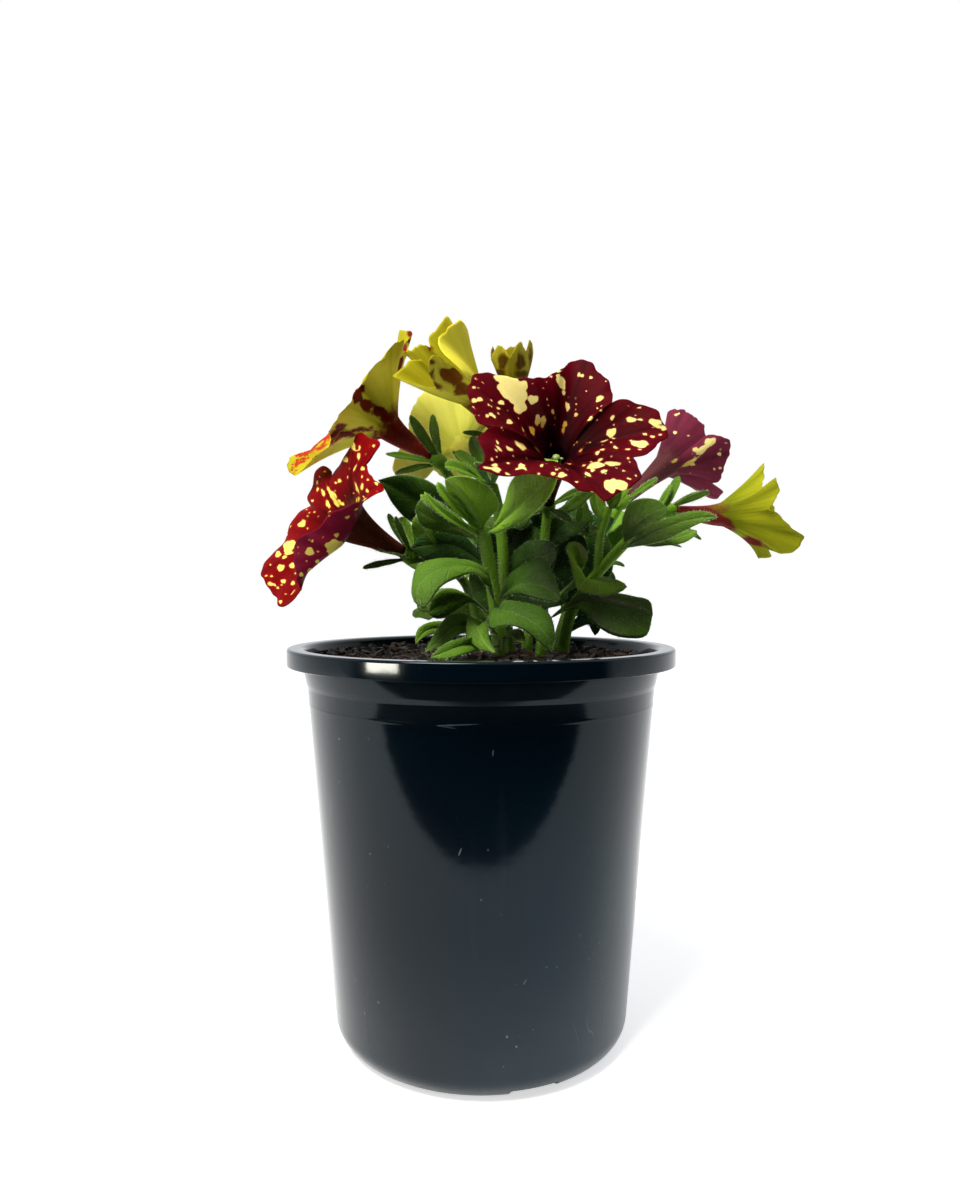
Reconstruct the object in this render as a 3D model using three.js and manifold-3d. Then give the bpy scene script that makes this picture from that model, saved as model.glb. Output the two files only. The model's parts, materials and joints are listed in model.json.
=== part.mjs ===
// Petunia in a round plastic nursery pot.
// Millimetres, +Z up. The origin is the centre of the pot's base, on the surface it stands on.
// The fullest side of the plant faces -Y.

import * as THREE from 'three';
import { mergeVertices } from 'three/addons/utils/BufferGeometryUtils.js';
import Module from 'manifold-3d';

const wasm = await Module();
wasm.setup();

// Driving dimensions of the pot
const potHeight = 140;
const rimRadius = 70;
const rimDepth = 6.2;
const rimWall = 1.4;
const bodyTopRadius = 64.5;
const baseRadius = 52.4;
const cornerRadius = 9;
const potWall = 1.4;
const shoulderHeight = 126;
const shoulderStep = 0.6;
const shoulderRise = 2;
const rimRounding = 1;
const potFacets = 32;
const notchCount = 4;
const notchTurn = -70;
const notchWidth = 17;
const notchHeight = 3.6;

// Driving dimensions of the potting mix
const mixLevel = 136;
const mixRelief = 0.8;
const mixFacets = 24;
const mixRings = 4;
const chipCount = 12;
const chipThickness = 2.2;
const chipNearest = 20;
const chipFarthest = 56;
const stemHoleDepth = 8;

// Driving dimensions of the plant
const clearance = 0.3;
const bladeThickness = 0.8;
const broadBlade = 15;
const narrowBlade = 6.5;
const widestStalk = 2;
const leastHalfWidth = 0.45;
const petalThickness = 0.8;
const stemSides = 6;
const stemStep = 13;
const sepalCount = 5;
const lobeCount = 5;
const neckRadius = 1.9;
const budHeadRadius = 2.7;
const pistilRadius = 0.6;
const knobRadius = 1.5;

const point = (x, y, z) => new THREE.Vector3(x, y, z);
const radians = THREE.MathUtils.degToRad;

// Repeatable random numbers
function randomNumbers(seed) {
  let state = seed;
  return () => {
    state = (state * 1664525 + 1013904223) % 4294967296;
    return state / 4294967296;
  };
}

// A closed geometry as a solid that can be joined and cut
function solidOf(geometry) {
  const bare = new THREE.BufferGeometry();
  bare.setAttribute('position', geometry.getAttribute('position'));
  if (geometry.index) bare.setIndex(geometry.index);
  const merged = mergeVertices(bare, 1e-3);
  const corners = merged.index.array;
  const kept = [];
  for (let i = 0; i < corners.length; i += 3) {
    const [a, b, c] = [corners[i], corners[i + 1], corners[i + 2]];
    if (a !== b && b !== c && c !== a) kept.push(a, b, c);
  }
  const mesh = new wasm.Mesh({
    numProp: 3,
    vertProperties: new Float32Array(merged.getAttribute('position').array),
    triVerts: new Uint32Array(kept),
  });
  return new wasm.Manifold(mesh);
}

function geometryOf(solid) {
  const mesh = solid.getMesh();
  const geometry = new THREE.BufferGeometry();
  geometry.setAttribute('position', new THREE.BufferAttribute(mesh.vertProperties, mesh.numProp));
  geometry.setIndex(new THREE.BufferAttribute(mesh.triVerts, 1));
  return geometry;
}

function joined(solids) {
  return solids.reduce((whole, piece) => whole.add(piece));
}

// The largest body of a solid, without loose scraps
function mainBody(solid) {
  const bodies = solid.decompose();
  return bodies.reduce((best, body) => (body.volume() > best.volume() ? body : best));
}

// A closed solid from rows of points: each row is a ring, and the first and last rings are capped
function solidOfRings(rings) {
  const perRing = rings[0].length;
  const positions = rings.flat().flatMap((p) => [p.x, p.y, p.z]);
  const faces = [];
  for (let row = 0; row < rings.length - 1; row += 1) {
    for (let i = 0; i < perRing; i += 1) {
      const next = (i + 1) % perRing;
      const [a, b] = [row * perRing + i, row * perRing + next];
      const [c, d] = [a + perRing, b + perRing];
      faces.push(a, b, d, a, d, c);
    }
  }
  const lastRow = (rings.length - 1) * perRing;
  for (const [start, flip] of [[0, true], [lastRow, false]]) {
    const centre = rings[start / perRing].reduce((sum, p) => sum.add(p), point(0, 0, 0));
    centre.divideScalar(perRing);
    const hub = positions.length / 3;
    positions.push(centre.x, centre.y, centre.z);
    for (let i = 0; i < perRing; i += 1) {
      const next = (i + 1) % perRing;
      const [a, b] = flip ? [start + next, start + i] : [start + i, start + next];
      faces.push(a, b, hub);
    }
  }
  const geometry = new THREE.BufferGeometry();
  geometry.setAttribute('position', new THREE.Float32BufferAttribute(positions, 3));
  geometry.setIndex(faces);
  return solidOf(geometry);
}

// Round tube along a smooth path
function stemSolid(path, radius, sides = stemSides) {
  const curve = new THREE.CatmullRomCurve3(path);
  const section = new THREE.Shape();
  for (let i = 0; i < sides; i += 1) {
    const angle = (i / sides) * 2 * Math.PI;
    const [x, y] = [radius * Math.cos(angle), radius * Math.sin(angle)];
    if (i === 0) section.moveTo(x, y);
    else section.lineTo(x, y);
  }
  const steps = Math.max(2, Math.round(curve.getLength() / stemStep));
  return solidOf(new THREE.ExtrudeGeometry(section, { steps, extrudePath: curve, bevelEnabled: false }));
}

// Half width of a blade along its length, as a share of its widest half
function bladeOutline(t, stalk) {
  const along = Math.max(0, (t - stalk) / (1 - stalk));
  const oval = Math.pow(along, 0.85) * Math.pow(1 - along, 0.52) / 0.49;
  return Math.min(1, oval);
}

// Middle surface of a blade: t runs from base to tip, v from one margin to the other
function bladePoint(blade, t, v) {
  const along = blade.curve.getTangent(t);
  const side = new THREE.Vector3().crossVectors(along, blade.face).normalize();
  const up = new THREE.Vector3().crossVectors(side, along).normalize();
  const stalkHalf = blade.stalkWidth / 2;
  const half = Math.max(stalkHalf * (1 - t), leastHalfWidth, blade.width / 2 * bladeOutline(t, blade.stalk));
  const fold = radians(blade.fold) * Math.min(1, half / (blade.width / 2) + 0.2);
  const rise = half * Math.abs(v) * Math.sin(fold);
  return blade.curve.getPoint(t)
    .addScaledVector(side, half * v * Math.cos(fold))
    .addScaledVector(up, rise);
}

// Thin leaf, sepal or bract with its two faces divided alike
function bladeSolid({ base, via, tip, width, face, fold, stalk = 0, rows }) {
  const cols = width > broadBlade ? 4 : 2;
  const rowCount = rows ?? (width < narrowBlade ? 3 : cols + 2);
  const control = via.clone().multiplyScalar(2).sub(base.clone().add(tip).multiplyScalar(0.5));
  const blade = {
    curve: new THREE.QuadraticBezierCurve3(base, control, tip),
    face: face.clone().normalize(),
    stalkWidth: Math.min(widestStalk, width / 2),
    width, fold, stalk,
  };
  const grid = [];
  for (let row = 0; row <= rowCount; row += 1) {
    const t = 1 - Math.pow(1 - row / rowCount, 1.25);
    grid.push([]);
    for (let col = 0; col <= cols; col += 1) {
      grid[row].push(bladePoint(blade, t, 2 * col / cols - 1));
    }
  }
  const normalAt = (row, col) => {
    const before = grid[Math.max(0, row - 1)][col];
    const after = grid[Math.min(rowCount, row + 1)][col];
    const left = grid[row][Math.max(0, col - 1)];
    const right = grid[row][Math.min(cols, col + 1)];
    return new THREE.Vector3().crossVectors(right.clone().sub(left), after.clone().sub(before)).normalize();
  };
  const positions = [];
  for (const sign of [1, -1]) {
    for (let row = 0; row <= rowCount; row += 1) {
      for (let col = 0; col <= cols; col += 1) {
        const p = grid[row][col].clone().addScaledVector(normalAt(row, col), sign * bladeThickness / 2);
        positions.push(p.x, p.y, p.z);
      }
    }
  }
  const size = (rowCount + 1) * (cols + 1);
  const id = (row, col) => row * (cols + 1) + col;
  const faces = [];
  for (let row = 0; row < rowCount; row += 1) {
    for (let col = 0; col < cols; col += 1) {
      const [a, b, c, d] = [id(row, col), id(row, col + 1), id(row + 1, col), id(row + 1, col + 1)];
      faces.push(a, b, d, a, d, c);
      faces.push(size + a, size + d, size + b, size + a, size + c, size + d);
    }
  }
  const border = [];
  for (let col = 0; col < cols; col += 1) border.push(id(0, col));
  for (let row = 0; row < rowCount; row += 1) border.push(id(row, cols));
  for (let col = cols; col > 0; col -= 1) border.push(id(rowCount, col));
  for (let row = rowCount; row > 0; row -= 1) border.push(id(row, 0));
  border.forEach((a, i) => {
    const b = border[(i + 1) % border.length];
    faces.push(b, a, size + a, b, size + a, size + b);
  });
  const geometry = new THREE.BufferGeometry();
  geometry.setAttribute('position', new THREE.Float32BufferAttribute(positions, 3));
  geometry.setIndex(faces);
  return solidOf(geometry);
}

// Where each petal of a bloom ends, seen from its throat: angle, reach and height in front of it
function lobesOf(bloom) {
  const facing = point(...bloom.facing).normalize();
  const right = new THREE.Vector3().crossVectors(point(...bloom.top), facing).normalize();
  const up = new THREE.Vector3().crossVectors(facing, right).normalize();
  const throat = point(...bloom.throat);
  const lobes = bloom.tips.map((tip, i) => {
    const arm = point(...tip).sub(throat);
    const [x, y] = [arm.dot(right), arm.dot(up)];
    const notch = bloom.notches[i];
    return { angle: Math.atan2(y, x), reach: Math.hypot(x, y), height: arm.dot(facing), notch };
  });
  lobes.sort((one, other) => one.angle - other.angle);
  return { facing, right, up, throat, lobes };
}

// Centre line of a bloom's tube, from its neck to its throat
function tubeCurve(bloom, facing) {
  const neck = point(...bloom.neck);
  const throat = point(...bloom.throat);
  const reach = neck.distanceTo(throat) / 3;
  const start = throat.clone().sub(neck).normalize();
  return new THREE.CubicBezierCurve3(
    neck,
    neck.clone().addScaledVector(start, reach),
    throat.clone().addScaledVector(facing, -reach),
    throat,
  );
}

// Middle surface of a corolla as rings of points, from the neck to the petals' margin
function corollaRings(bloom, perLobe, tubeRings, limbRings) {
  const { facing, right, up, throat, lobes } = lobesOf(bloom);
  const axis = tubeCurve(bloom, facing);
  const around = [];
  lobes.forEach((lobe, k) => {
    const next = lobes[(k + 1) % lobeCount];
    const span = (next.angle - lobe.angle + 2 * Math.PI) % (2 * Math.PI);
    for (let i = 0; i < perLobe; i += 1) {
      const share = i / perLobe;
      const near = share <= 0.5 ? lobe : next;
      const far = share <= 0.5 ? next : lobe;
      const off = share <= 0.5 ? 2 * share : 2 * (1 - share);
      const notchReach = lobe.notch * (lobe.reach + next.reach) / 2;
      const body = near.reach - bloom.point;
      const pointHere = bloom.point * Math.max(0, 1 - off / 0.3);
      const reach = body + (notchReach - body) * Math.pow(off, 2.2) + pointHere;
      const blend = off * off * (3 - 2 * off) / 2;
      const height = near.height + (far.height - near.height) * blend - bloom.sink * blend * 2;
      around.push({ angle: lobe.angle + span * share, reach, height });
    }
  });
  const rings = [];
  for (let j = 0; j <= tubeRings; j += 1) {
    const s = j / tubeRings;
    const along = axis.getTangent(s);
    const upHere = up.clone().addScaledVector(along, -up.dot(along)).normalize();
    const rightHere = new THREE.Vector3().crossVectors(upHere, along);
    const radius = neckRadius + (bloom.throatRadius - neckRadius) * Math.pow(s, 1.4);
    rings.push(around.map(({ angle }) => axis.getPoint(s)
      .addScaledVector(rightHere, radius * Math.cos(angle))
      .addScaledVector(upHere, radius * Math.sin(angle))));
  }
  for (let j = 1; j <= limbRings; j += 1) {
    const t = j / limbRings;
    rings.push(around.map(({ angle, reach, height }) => {
      const knee = bloom.throatRadius + (reach - bloom.throatRadius) * bloom.flare;
      const out = (1 - t) * (1 - t) * bloom.throatRadius + 2 * t * (1 - t) * knee + t * t * reach;
      const ruffle = bloom.ruffle * t * t * Math.sin(angle * 7 + bloom.rufflePhase);
      const lift = 2 * t * (1 - t) * bloom.rise + t * t * height + ruffle;
      return throat.clone()
        .addScaledVector(right, out * Math.cos(angle))
        .addScaledVector(up, out * Math.sin(angle))
        .addScaledVector(facing, lift);
    }));
  }
  return { rings, axis };
}

// Thin trumpet of five joined petals on a tube, with the pistil inside
function corollaSolid(bloom) {
  const { rings, axis } = corollaRings(bloom, bloom.perLobe, 2, bloom.perLobe > 4 ? 4 : 3);
  const count = rings[0].length;
  const last = rings.length - 1;
  const skin = (row, sign) => rings[row].map((p, i) => {
    const round = rings[row][(i + 1) % count].clone().sub(rings[row][(i + count - 1) % count]);
    const along = rings[Math.min(last, row + 1)][i].clone().sub(rings[Math.max(0, row - 1)][i]);
    const outward = new THREE.Vector3().crossVectors(round, along).normalize();
    return p.clone().addScaledVector(outward, sign * petalThickness / 2);
  });
  const closed = [];
  for (let row = 0; row <= last; row += 1) closed.push(skin(row, 1));
  for (let row = last; row >= 1; row -= 1) closed.push(skin(row, -1));
  const petals = solidOfRings(closed);
  if (!bloom.pistil) return petals;
  const style = stemSolid([0.1, 0.4, 0.7, 0.92].map((s) => axis.getPoint(s)), pistilRadius, 5);
  const knob = new THREE.SphereGeometry(knobRadius, 6, 4);
  knob.translate(...axis.getPoint(0.95).toArray());
  return joined([petals, style, solidOf(knob)]);
}

// Swollen stem end and narrow sepals round the neck of a bloom
function calyxSolids(bloom) {
  const neck = point(...bloom.neck);
  const forward = point(...bloom.throat).sub(neck).normalize();
  const sideways = new THREE.Vector3().crossVectors(forward, point(0.1, 0.2, 1)).normalize();
  const across = new THREE.Vector3().crossVectors(sideways, forward).normalize();
  const headCentre = neck.clone().addScaledVector(forward, -(budHeadRadius + clearance));
  const head = new THREE.SphereGeometry(budHeadRadius, 6, 4);
  head.translate(...headCentre.toArray());
  const solids = [solidOf(head)];
  const { length, width, spread, turn } = bloom.sepals;
  const lean = radians(spread);
  for (let i = 0; i < sepalCount; i += 1) {
    const angle = radians(turn) + (i / sepalCount) * 2 * Math.PI;
    const radial = sideways.clone().multiplyScalar(Math.cos(angle)).addScaledVector(across, Math.sin(angle));
    const onCalyx = (ahead, out) => neck.clone().addScaledVector(forward, ahead).addScaledVector(radial, out);
    solids.push(bladeSolid({
      base: onCalyx(-3, 1.2),
      via: onCalyx(length * 0.45 * Math.cos(lean), 4.2 + length * 0.35 * Math.sin(lean)),
      tip: onCalyx(length * Math.cos(lean), 3.6 + length * Math.sin(lean)),
      width, face: radial.clone().negate(), fold: 12, rows: 2,
    }));
  }
  return { solids, headCentre };
}

// The blooms: neck and throat end the tube, the mouth looks along facing, tips are the petals' ends
const blooms = [
  {
    name: 'bloom_front', colour: 0x5c0418, neck: [24, -8, 192], throat: [25, -30, 205],
    facing: [0.02, -0.79, 0.61], top: [0, 0, 1], throatRadius: 4.2, flare: 0.42, rise: 12, point: 2.2,
    sink: 1, ruffle: 0.7, rufflePhase: 0.6, perLobe: 6, pistil: true,
    tips: [[60, -42, 211], [33, -25, 238], [-3, -30, 231], [0, -59, 196], [37, -62, 187]],
    notches: [0.76, 0.84, 0.62, 0.84, 0.72],
    sepals: { length: 12, width: 3.2, spread: 62, turn: 20 },
  },
  {
    name: 'bloom_upper_left', colour: 0xa5972a, neck: [-18, 8, 210], throat: [-35, 14, 222],
    facing: [-0.74, -0.21, 0.64], top: [0, 0, 1], throatRadius: 5, flare: 0.4, rise: 11, point: 2,
    sink: 0, ruffle: 0.6, rufflePhase: 2, perLobe: 4, pistil: false,
    tips: [[-29, 16, 256], [-44, 44, 247], [-62, 36, 222], [-70, 8, 202], [-45, -16, 224]],
    notches: [0.84, 0.84, 0.84, 0.84, 0.84],
    sepals: { length: 17, width: 3.6, spread: 38, turn: 10 },
  },
  {
    name: 'bloom_lower_left', colour: 0x7a0a1c, neck: [-28, -9, 174], throat: [-46, -16, 184],
    facing: [-0.74, -0.4, 0.54], top: [0, 0, 1], throatRadius: 5, flare: 0.42, rise: 10, point: 2,
    sink: 0, ruffle: 0.8, rufflePhase: 0.3, perLobe: 4, pistil: true,
    tips: [[-36, -12, 211], [-60, 14, 208], [-81, 4, 167], [-67, -20, 156], [-56, -44, 175]],
    notches: [0.78, 0.7, 0.86, 0.86, 0.5],
    sepals: { length: 13, width: 3, spread: 40, turn: 0 },
  },
  {
    name: 'bloom_back', colour: 0xd9da78, neck: [0, 22, 205], throat: [-8, 33, 217],
    facing: [-0.15, 0.94, 0.3], top: [0, 0, 1], throatRadius: 4.6, flare: 0.4, rise: 8, point: 1.5,
    sink: 0, ruffle: 0.6, rufflePhase: 1, perLobe: 4, pistil: true,
    tips: [[-25, 44, 242], [12, 46, 238], [14, 46, 203], [-15, 46, 193], [-37, 43, 212]],
    notches: [0.84, 0.84, 0.84, 0.84, 0.84],
    sepals: { length: 12, width: 3, spread: 48, turn: 30 },
  },
  {
    name: 'bloom_right_back', colour: 0x5c1a35, neck: [57, 20, 196], throat: [74, 29, 210],
    facing: [0.66, 0.56, 0.5], top: [0, 0, 1], throatRadius: 4.8, flare: 0.45, rise: 11, point: 1.5,
    sink: 0, ruffle: 0.7, rufflePhase: 3, perLobe: 4, pistil: true,
    tips: [[78, 40, 234], [101, 34, 219], [95, 31, 199], [91, 56, 199], [82, 62, 224]],
    notches: [0.82, 0.82, 0.82, 0.82, 0.82],
    sepals: { length: 12, width: 3, spread: 42, turn: 0 },
  },
  {
    name: 'bloom_right', colour: 0xaab41e, neck: [71, -2, 189], throat: [88, -1, 188], facing: [0.98, 0, 0.1],
    top: [0, 0, 1], throatRadius: 4, flare: 0.5, rise: 12, point: 2.5, sink: 4, ruffle: 0.3,
    rufflePhase: 0, perLobe: 4, pistil: false,
    tips: [[105, 5, 207], [107, -9, 200], [116, -8, 179], [107, 3, 172], [112, 12, 193]],
    notches: [0.66, 0.66, 0.66, 0.66, 0.66],
    sepals: { length: 12, width: 2.6, spread: 30, turn: 40 },
  },
  {
    name: 'bud_top', colour: 0xb0b432, neck: [6, 17, 222], throat: [-3, 6, 232], facing: [-0.6, -0.42, 0.68],
    top: [0, 0, 1], throatRadius: 4.6, flare: 0.5, rise: 10, point: 2, sink: 2, ruffle: 0.3,
    rufflePhase: 0, perLobe: 4, pistil: false,
    tips: [[-6, -8, 256], [-12, 12, 264], [-26, 0, 246], [-30, -14, 235], [-15, -28, 236]],
    notches: [0.66, 0.66, 0.66, 0.66, 0.66],
    sepals: { length: 11, width: 2.8, spread: 42, turn: 30 },
  },
  {
    name: 'bud_small', colour: 0x8f8a2c, neck: [14, 23, 231], throat: [13, 22, 240],
    facing: [-0.04, -0.05, 1], top: [0, 1, 0], throatRadius: 4, flare: 0.85, rise: 8, point: 1.5,
    sink: 5, ruffle: 0.2, rufflePhase: 0, perLobe: 4, pistil: false,
    tips: [[5, 21, 254], [9, 15, 254], [19, 16, 257], [21, 24, 256], [12, 29, 254]],
    notches: [0.85, 0.85, 0.85, 0.85, 0.85],
    sepals: { length: 10, width: 2.6, spread: 34, turn: 0 },
  },
];

// A leaf by its place on the path, halfway point, tip, width, the way its upper face looks, and its fold
const leaf = (at, via, tip, width, face, fold, more = {}) => ({ at, via, tip, width, face, fold, ...more });

// The leafy stems: path from the mix upwards, side shoots, the bloom on top and leaves by their place
const shoots = [
  {
    name: 'leafy_stem_front', radius: 2.3,
    path: [[8, -8, 128], [6, -11, 148], [4, -14, 162], [2, -17, 174], [0.5, -19, 182]],
    leaves: [
      leaf(0.95, [13, -31, 188], [23, -36, 199], 15, [-0.5, -0.9, 0.1], 10),
      leaf(0.98, [-3, -26, 190], [-12, -32, 197], 15, [0.1, -0.9, -0.3], 20),
      leaf(0.96, [-10, -23, 188], [-15, -24, 197], 7, [-0.3, -0.7, 0.5], 38),
      leaf(0.94, [-13, -26, 186], [-21, -28, 193], 7, [-0.3, -0.7, 0.5], 38),
      leaf(0.9, [-11, -15, 184], [-23, -18, 189], 15, [0, -0.85, 0.5], 6),
      leaf(0.5, [-6, -32, 168], [-18, -44, 155], 17, [0.3, -0.3, 0.9], -14),
      leaf(0.38, [-6, -20, 158], [-18, -28, 153], 12, [-0.3, -0.9, 0.2], -6, { stalk: 0.35 }),
      leaf(0.5, [14, -25, 164], [26, -35, 157], 17, [-0.7, -0.6, 0.5], 20),
      leaf(0.42, [8, -34, 153], [22, -42, 140], 20, [-0.3, -0.3, 0.9], -8),
      leaf(0.3, [0, -27, 149], [5, -39, 140], 9, [0.2, -0.9, 0.4], 10),
      leaf(0.28, [-10, -19, 147], [-22, -30, 142], 9, [0, -0.7, 0.7], -10),
      leaf(0.22, [-1, -31, 142], [-16, -47, 139], 9, [0, -0.6, 0.8], 6),
      leaf(0.32, [-5, -27, 149], [-19, -36, 140], 9, [-0.2, -0.7, 0.5], 15),
      leaf(0.2, [11, -22, 144], [14, -27, 148], 6, [0, -0.9, 0.4], 20),
    ],
  },
  {
    name: 'leafy_stem_centre', radius: 1.9,
    path: [[12, 0, 128], [9, -4, 150], [8, -7, 172], [6, -7, 190], [4, -8, 198]],
    leaves: [
      leaf(1, [-7, -11, 203], [-13, -12, 204], 5.5, [0, -0.8, 0.5], 35),
      leaf(0.98, [-4, -9, 205], [-9, -8, 210], 5.5, [0, -0.8, 0.5], 35),
      leaf(1, [0, -14, 201], [-1, -18, 205], 5, [0.1, -0.3, 0.9], 35),
      leaf(1, [6, -14, 201], [8, -18, 204], 5, [-0.2, -0.3, 0.9], 35),
      leaf(0.95, [1, -5, 207], [-4, -3, 216], 7, [-0.3, -0.8, 0.2], 20),
      leaf(0.52, [-6, -12, 173], [-22, -17, 171], 11, [0.1, -1, -0.1], 10),
      leaf(0.8, [12, 1, 187], [14, 6, 197], 12, [-0.2, -0.9, 0.3], 10),
      leaf(0.35, [4, -4, 158], [-3, -2, 168], 12, [0.2, -0.9, 0.3], 8),
    ],
  },
  {
    name: 'leafy_stem_bloom_front', radius: 1.9, bloom: 'bloom_front',
    path: [[21, -3, 128], [22.5, -4, 150], [22.5, -6, 171]],
    leaves: [
      leaf(0.93, [32, -14, 190], [40, -17, 195], 9, [-0.1, -0.8, 0.5], 15),
      leaf(0.75, [31, -4, 185], [40, -1, 187], 13, [-0.1, -0.8, 0.5], 10),
      leaf(0.55, [30, -2, 171], [36, 1, 181], 14, [-0.3, -0.9, 0.3], 10),
      leaf(0.33, [37, -20, 156], [57, -31, 153], 21, [-0.7, -0.5, 0.4], -8),
    ],
  },
  {
    name: 'leafy_stem_right', radius: 2, bloom: 'bloom_right',
    path: [[29, 3, 128], [33, 2, 151], [39, -2, 162], [47, -6, 172], [57, -6, 182]],
    branches: [{ from: 0.55, path: [[43, -6, 180], [46, -7, 190]], radius: 1.5 }],
    leaves: [
      leaf(0.72, [52, -13, 182], [64, -19, 189], 13, [-0.35, -0.75, 0.55], 15),
      leaf(0.86, [67, -10, 193], [70, -10, 201], 7, [-0.7, -0.6, 0.3], 30),
      leaf(0.68, [59, -18, 179], [81, -25, 185], 10, [-0.1, -0.7, 0.7], 12),
      leaf(0.74, [66, -13, 178], [79, -12, 181], 9, [-0.1, -0.7, 0.7], 12),
      leaf(0.7, [63, 0, 178], [74, 0, 176], 4, [0, -0.6, 0.8], 10),
      leaf(0.5, [48, 6, 170], [54, 7, 169], 4, [0, -0.6, 0.8], 10),
      leaf(0.9, [42, -6, 190], [41, -5, 199], 8, [0.4, -0.9, 0.1], 25, { branch: 0 }),
      leaf(1, [47, -10, 193], [48, -12, 200], 8, [-0.3, -0.9, 0.1], 25, { branch: 0 }),
      leaf(1, [50, -5, 194], [55, -4, 200], 5, [-0.6, -0.7, 0.2], 25, { branch: 0 }),
      leaf(0.32, [32, -18, 170], [31, -23, 178], 11, [0.5, -0.8, -0.2], 10),
      leaf(0.3, [41, -19, 168], [49, -33, 163], 14, [0.3, -0.5, 0.8], 8),
      leaf(0.2, [41, 8, 150], [43, 8, 143], 6, [0, -0.9, 0.2], 10),
    ],
  },
  {
    name: 'leafy_stem_left_low', radius: 1.8, bloom: 'bloom_lower_left',
    path: [[2, 3, 128], [-2, 4, 150], [-6, 2, 163], [-13, -3, 169]],
    leaves: [
      leaf(0.6, [-12, 8, 175], [-24, 10, 180], 17, [0.1, -0.8, 0.5], -10),
      leaf(0.93, [-26, -7, 178], [-30, -11, 182], 7, [-0.5, -0.8, 0.2], 20),
      leaf(0.88, [-20, -11, 180], [-21, -13, 188], 9, [-0.3, -0.9, 0.2], 20),
      leaf(0.4, [-14, 6, 158], [-24, 8, 153], 15, [-0.2, -0.6, 0.8], -8),
    ],
  },
  {
    name: 'leafy_stem_left_high', radius: 1.9, bloom: 'bloom_upper_left',
    path: [[7, 12, 128], [4, 16, 156], [0, 18, 176], [-6, 14, 193]],
    leaves: [
      leaf(0.62, [-16, 2, 187], [-36, -12, 199], 18, [0.5, -0.8, -0.2], 6),
      leaf(0.45, [-18, 27, 172], [-32, 34, 176], 18, [-0.2, -0.4, 0.85], 8),
      leaf(0.25, [-14, 26, 155], [-28, 32, 150], 17, [-0.2, -0.4, 0.85], -8),
    ],
  },
  {
    name: 'leafy_stem_back', radius: 1.9, bloom: 'bud_small',
    path: [[17, 12, 128], [19, 18, 160], [19, 23, 184], [17, 25, 207]],
    branches: [{ from: 0.72, path: [], radius: 1.4, bloom: 'bud_top' }],
    leaves: [
      leaf(0.25, [23, 34, 158], [29, 51, 158], 20, [0, -0.2, 1], 8),
      leaf(0.45, [31, 32, 185], [43, 41, 192], 18, [-0.1, -0.7, 0.7], 10),
      leaf(0.5, [9, 36, 186], [1, 49, 190], 17, [0, -0.5, 0.85], 10),
      leaf(0.36, [10, 26, 168], [4, 36, 173], 14, [0, -0.8, 0.6], 8),
      leaf(0.68, [27, 30, 203], [35, 34, 212], 9, [-0.4, -0.6, 0.6], 20),
      leaf(0.38, [28, 22, 175], [37, 22, 185], 15, [0, -0.95, 0.2], 8),
    ],
  },
  {
    name: 'leafy_stem_back_right', radius: 1.8, bloom: 'bloom_right_back',
    path: [[26, 14, 128], [33, 20, 150], [41, 22, 170]],
    leaves: [
      leaf(0.62, [49, 31, 178], [60, 40, 189], 17, [-0.1, -0.6, 0.8], 8),
      leaf(0.3, [44, 36, 158], [54, 53, 156], 21, [0.1, -0.3, 0.95], 8),
      leaf(0.6, [34, 27, 168], [28, 33, 168], 12, [0.1, -0.9, 0.3], 8),
      leaf(0.8, [53, 34, 188], [57, 46, 193], 12, [-0.2, -0.5, 0.85], 12),
      leaf(0.33, [43, 18, 160], [51, 16, 167], 14, [0, -0.95, 0.2], 8),
    ],
  },
  {
    name: 'leafy_stem_back_left', radius: 1.8, bloom: 'bloom_back',
    path: [[1, 20, 128], [0, 27, 152], [-1, 29, 175]],
    leaves: [
      leaf(0.2, [-6, 42, 152], [-13, 58, 149], 20, [0, 0.2, 0.95], 8),
      leaf(0.5, [-13, 42, 175], [-28, 50, 178], 19, [0, -0.4, 0.9], 8),
      leaf(0.42, [9, 44, 166], [17, 58, 165], 19, [0.1, 0.1, 1], 10),
      leaf(0.66, [-3, 45, 180], [-4, 56, 186], 13, [0, -0.2, 1], 14),
    ],
  },
];

const bloomNamed = (name) => blooms.find((bloom) => bloom.name === name);

// One leafy stem with its side shoots, leaves and calyxes as a single body
function shootSolid(shoot) {
  const solids = [];
  const grow = (start, path, radius, bloomName) => {
    const route = start.concat(path.map((p) => point(...p)));
    if (bloomName) {
      const calyx = calyxSolids(bloomNamed(bloomName));
      solids.push(...calyx.solids);
      route.push(calyx.headCentre);
    }
    solids.push(stemSolid(route, radius));
    return new THREE.CatmullRomCurve3(route);
  };
  const main = grow([], shoot.path, shoot.radius, shoot.bloom);
  const branches = (shoot.branches ?? []).map(({ from, path, radius, bloom }) => (
    grow([main.getPointAt(from)], path, radius, bloom)));
  for (const { at, branch, via, tip, face, ...shape } of shoot.leaves) {
    const carrier = branch === undefined ? main : branches[branch];
    solids.push(bladeSolid({
      base: carrier.getPointAt(at),
      via: point(...via),
      tip: point(...tip),
      face: point(...face),
      ...shape,
    }));
  }
  return mainBody(joined(solids));
}

// Radius of the pot's outer face at a height, above its rounded corner
const potRadiusAt = (z) => baseRadius + (bodyTopRadius - shoulderStep - baseRadius) * z / potHeight;

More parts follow.
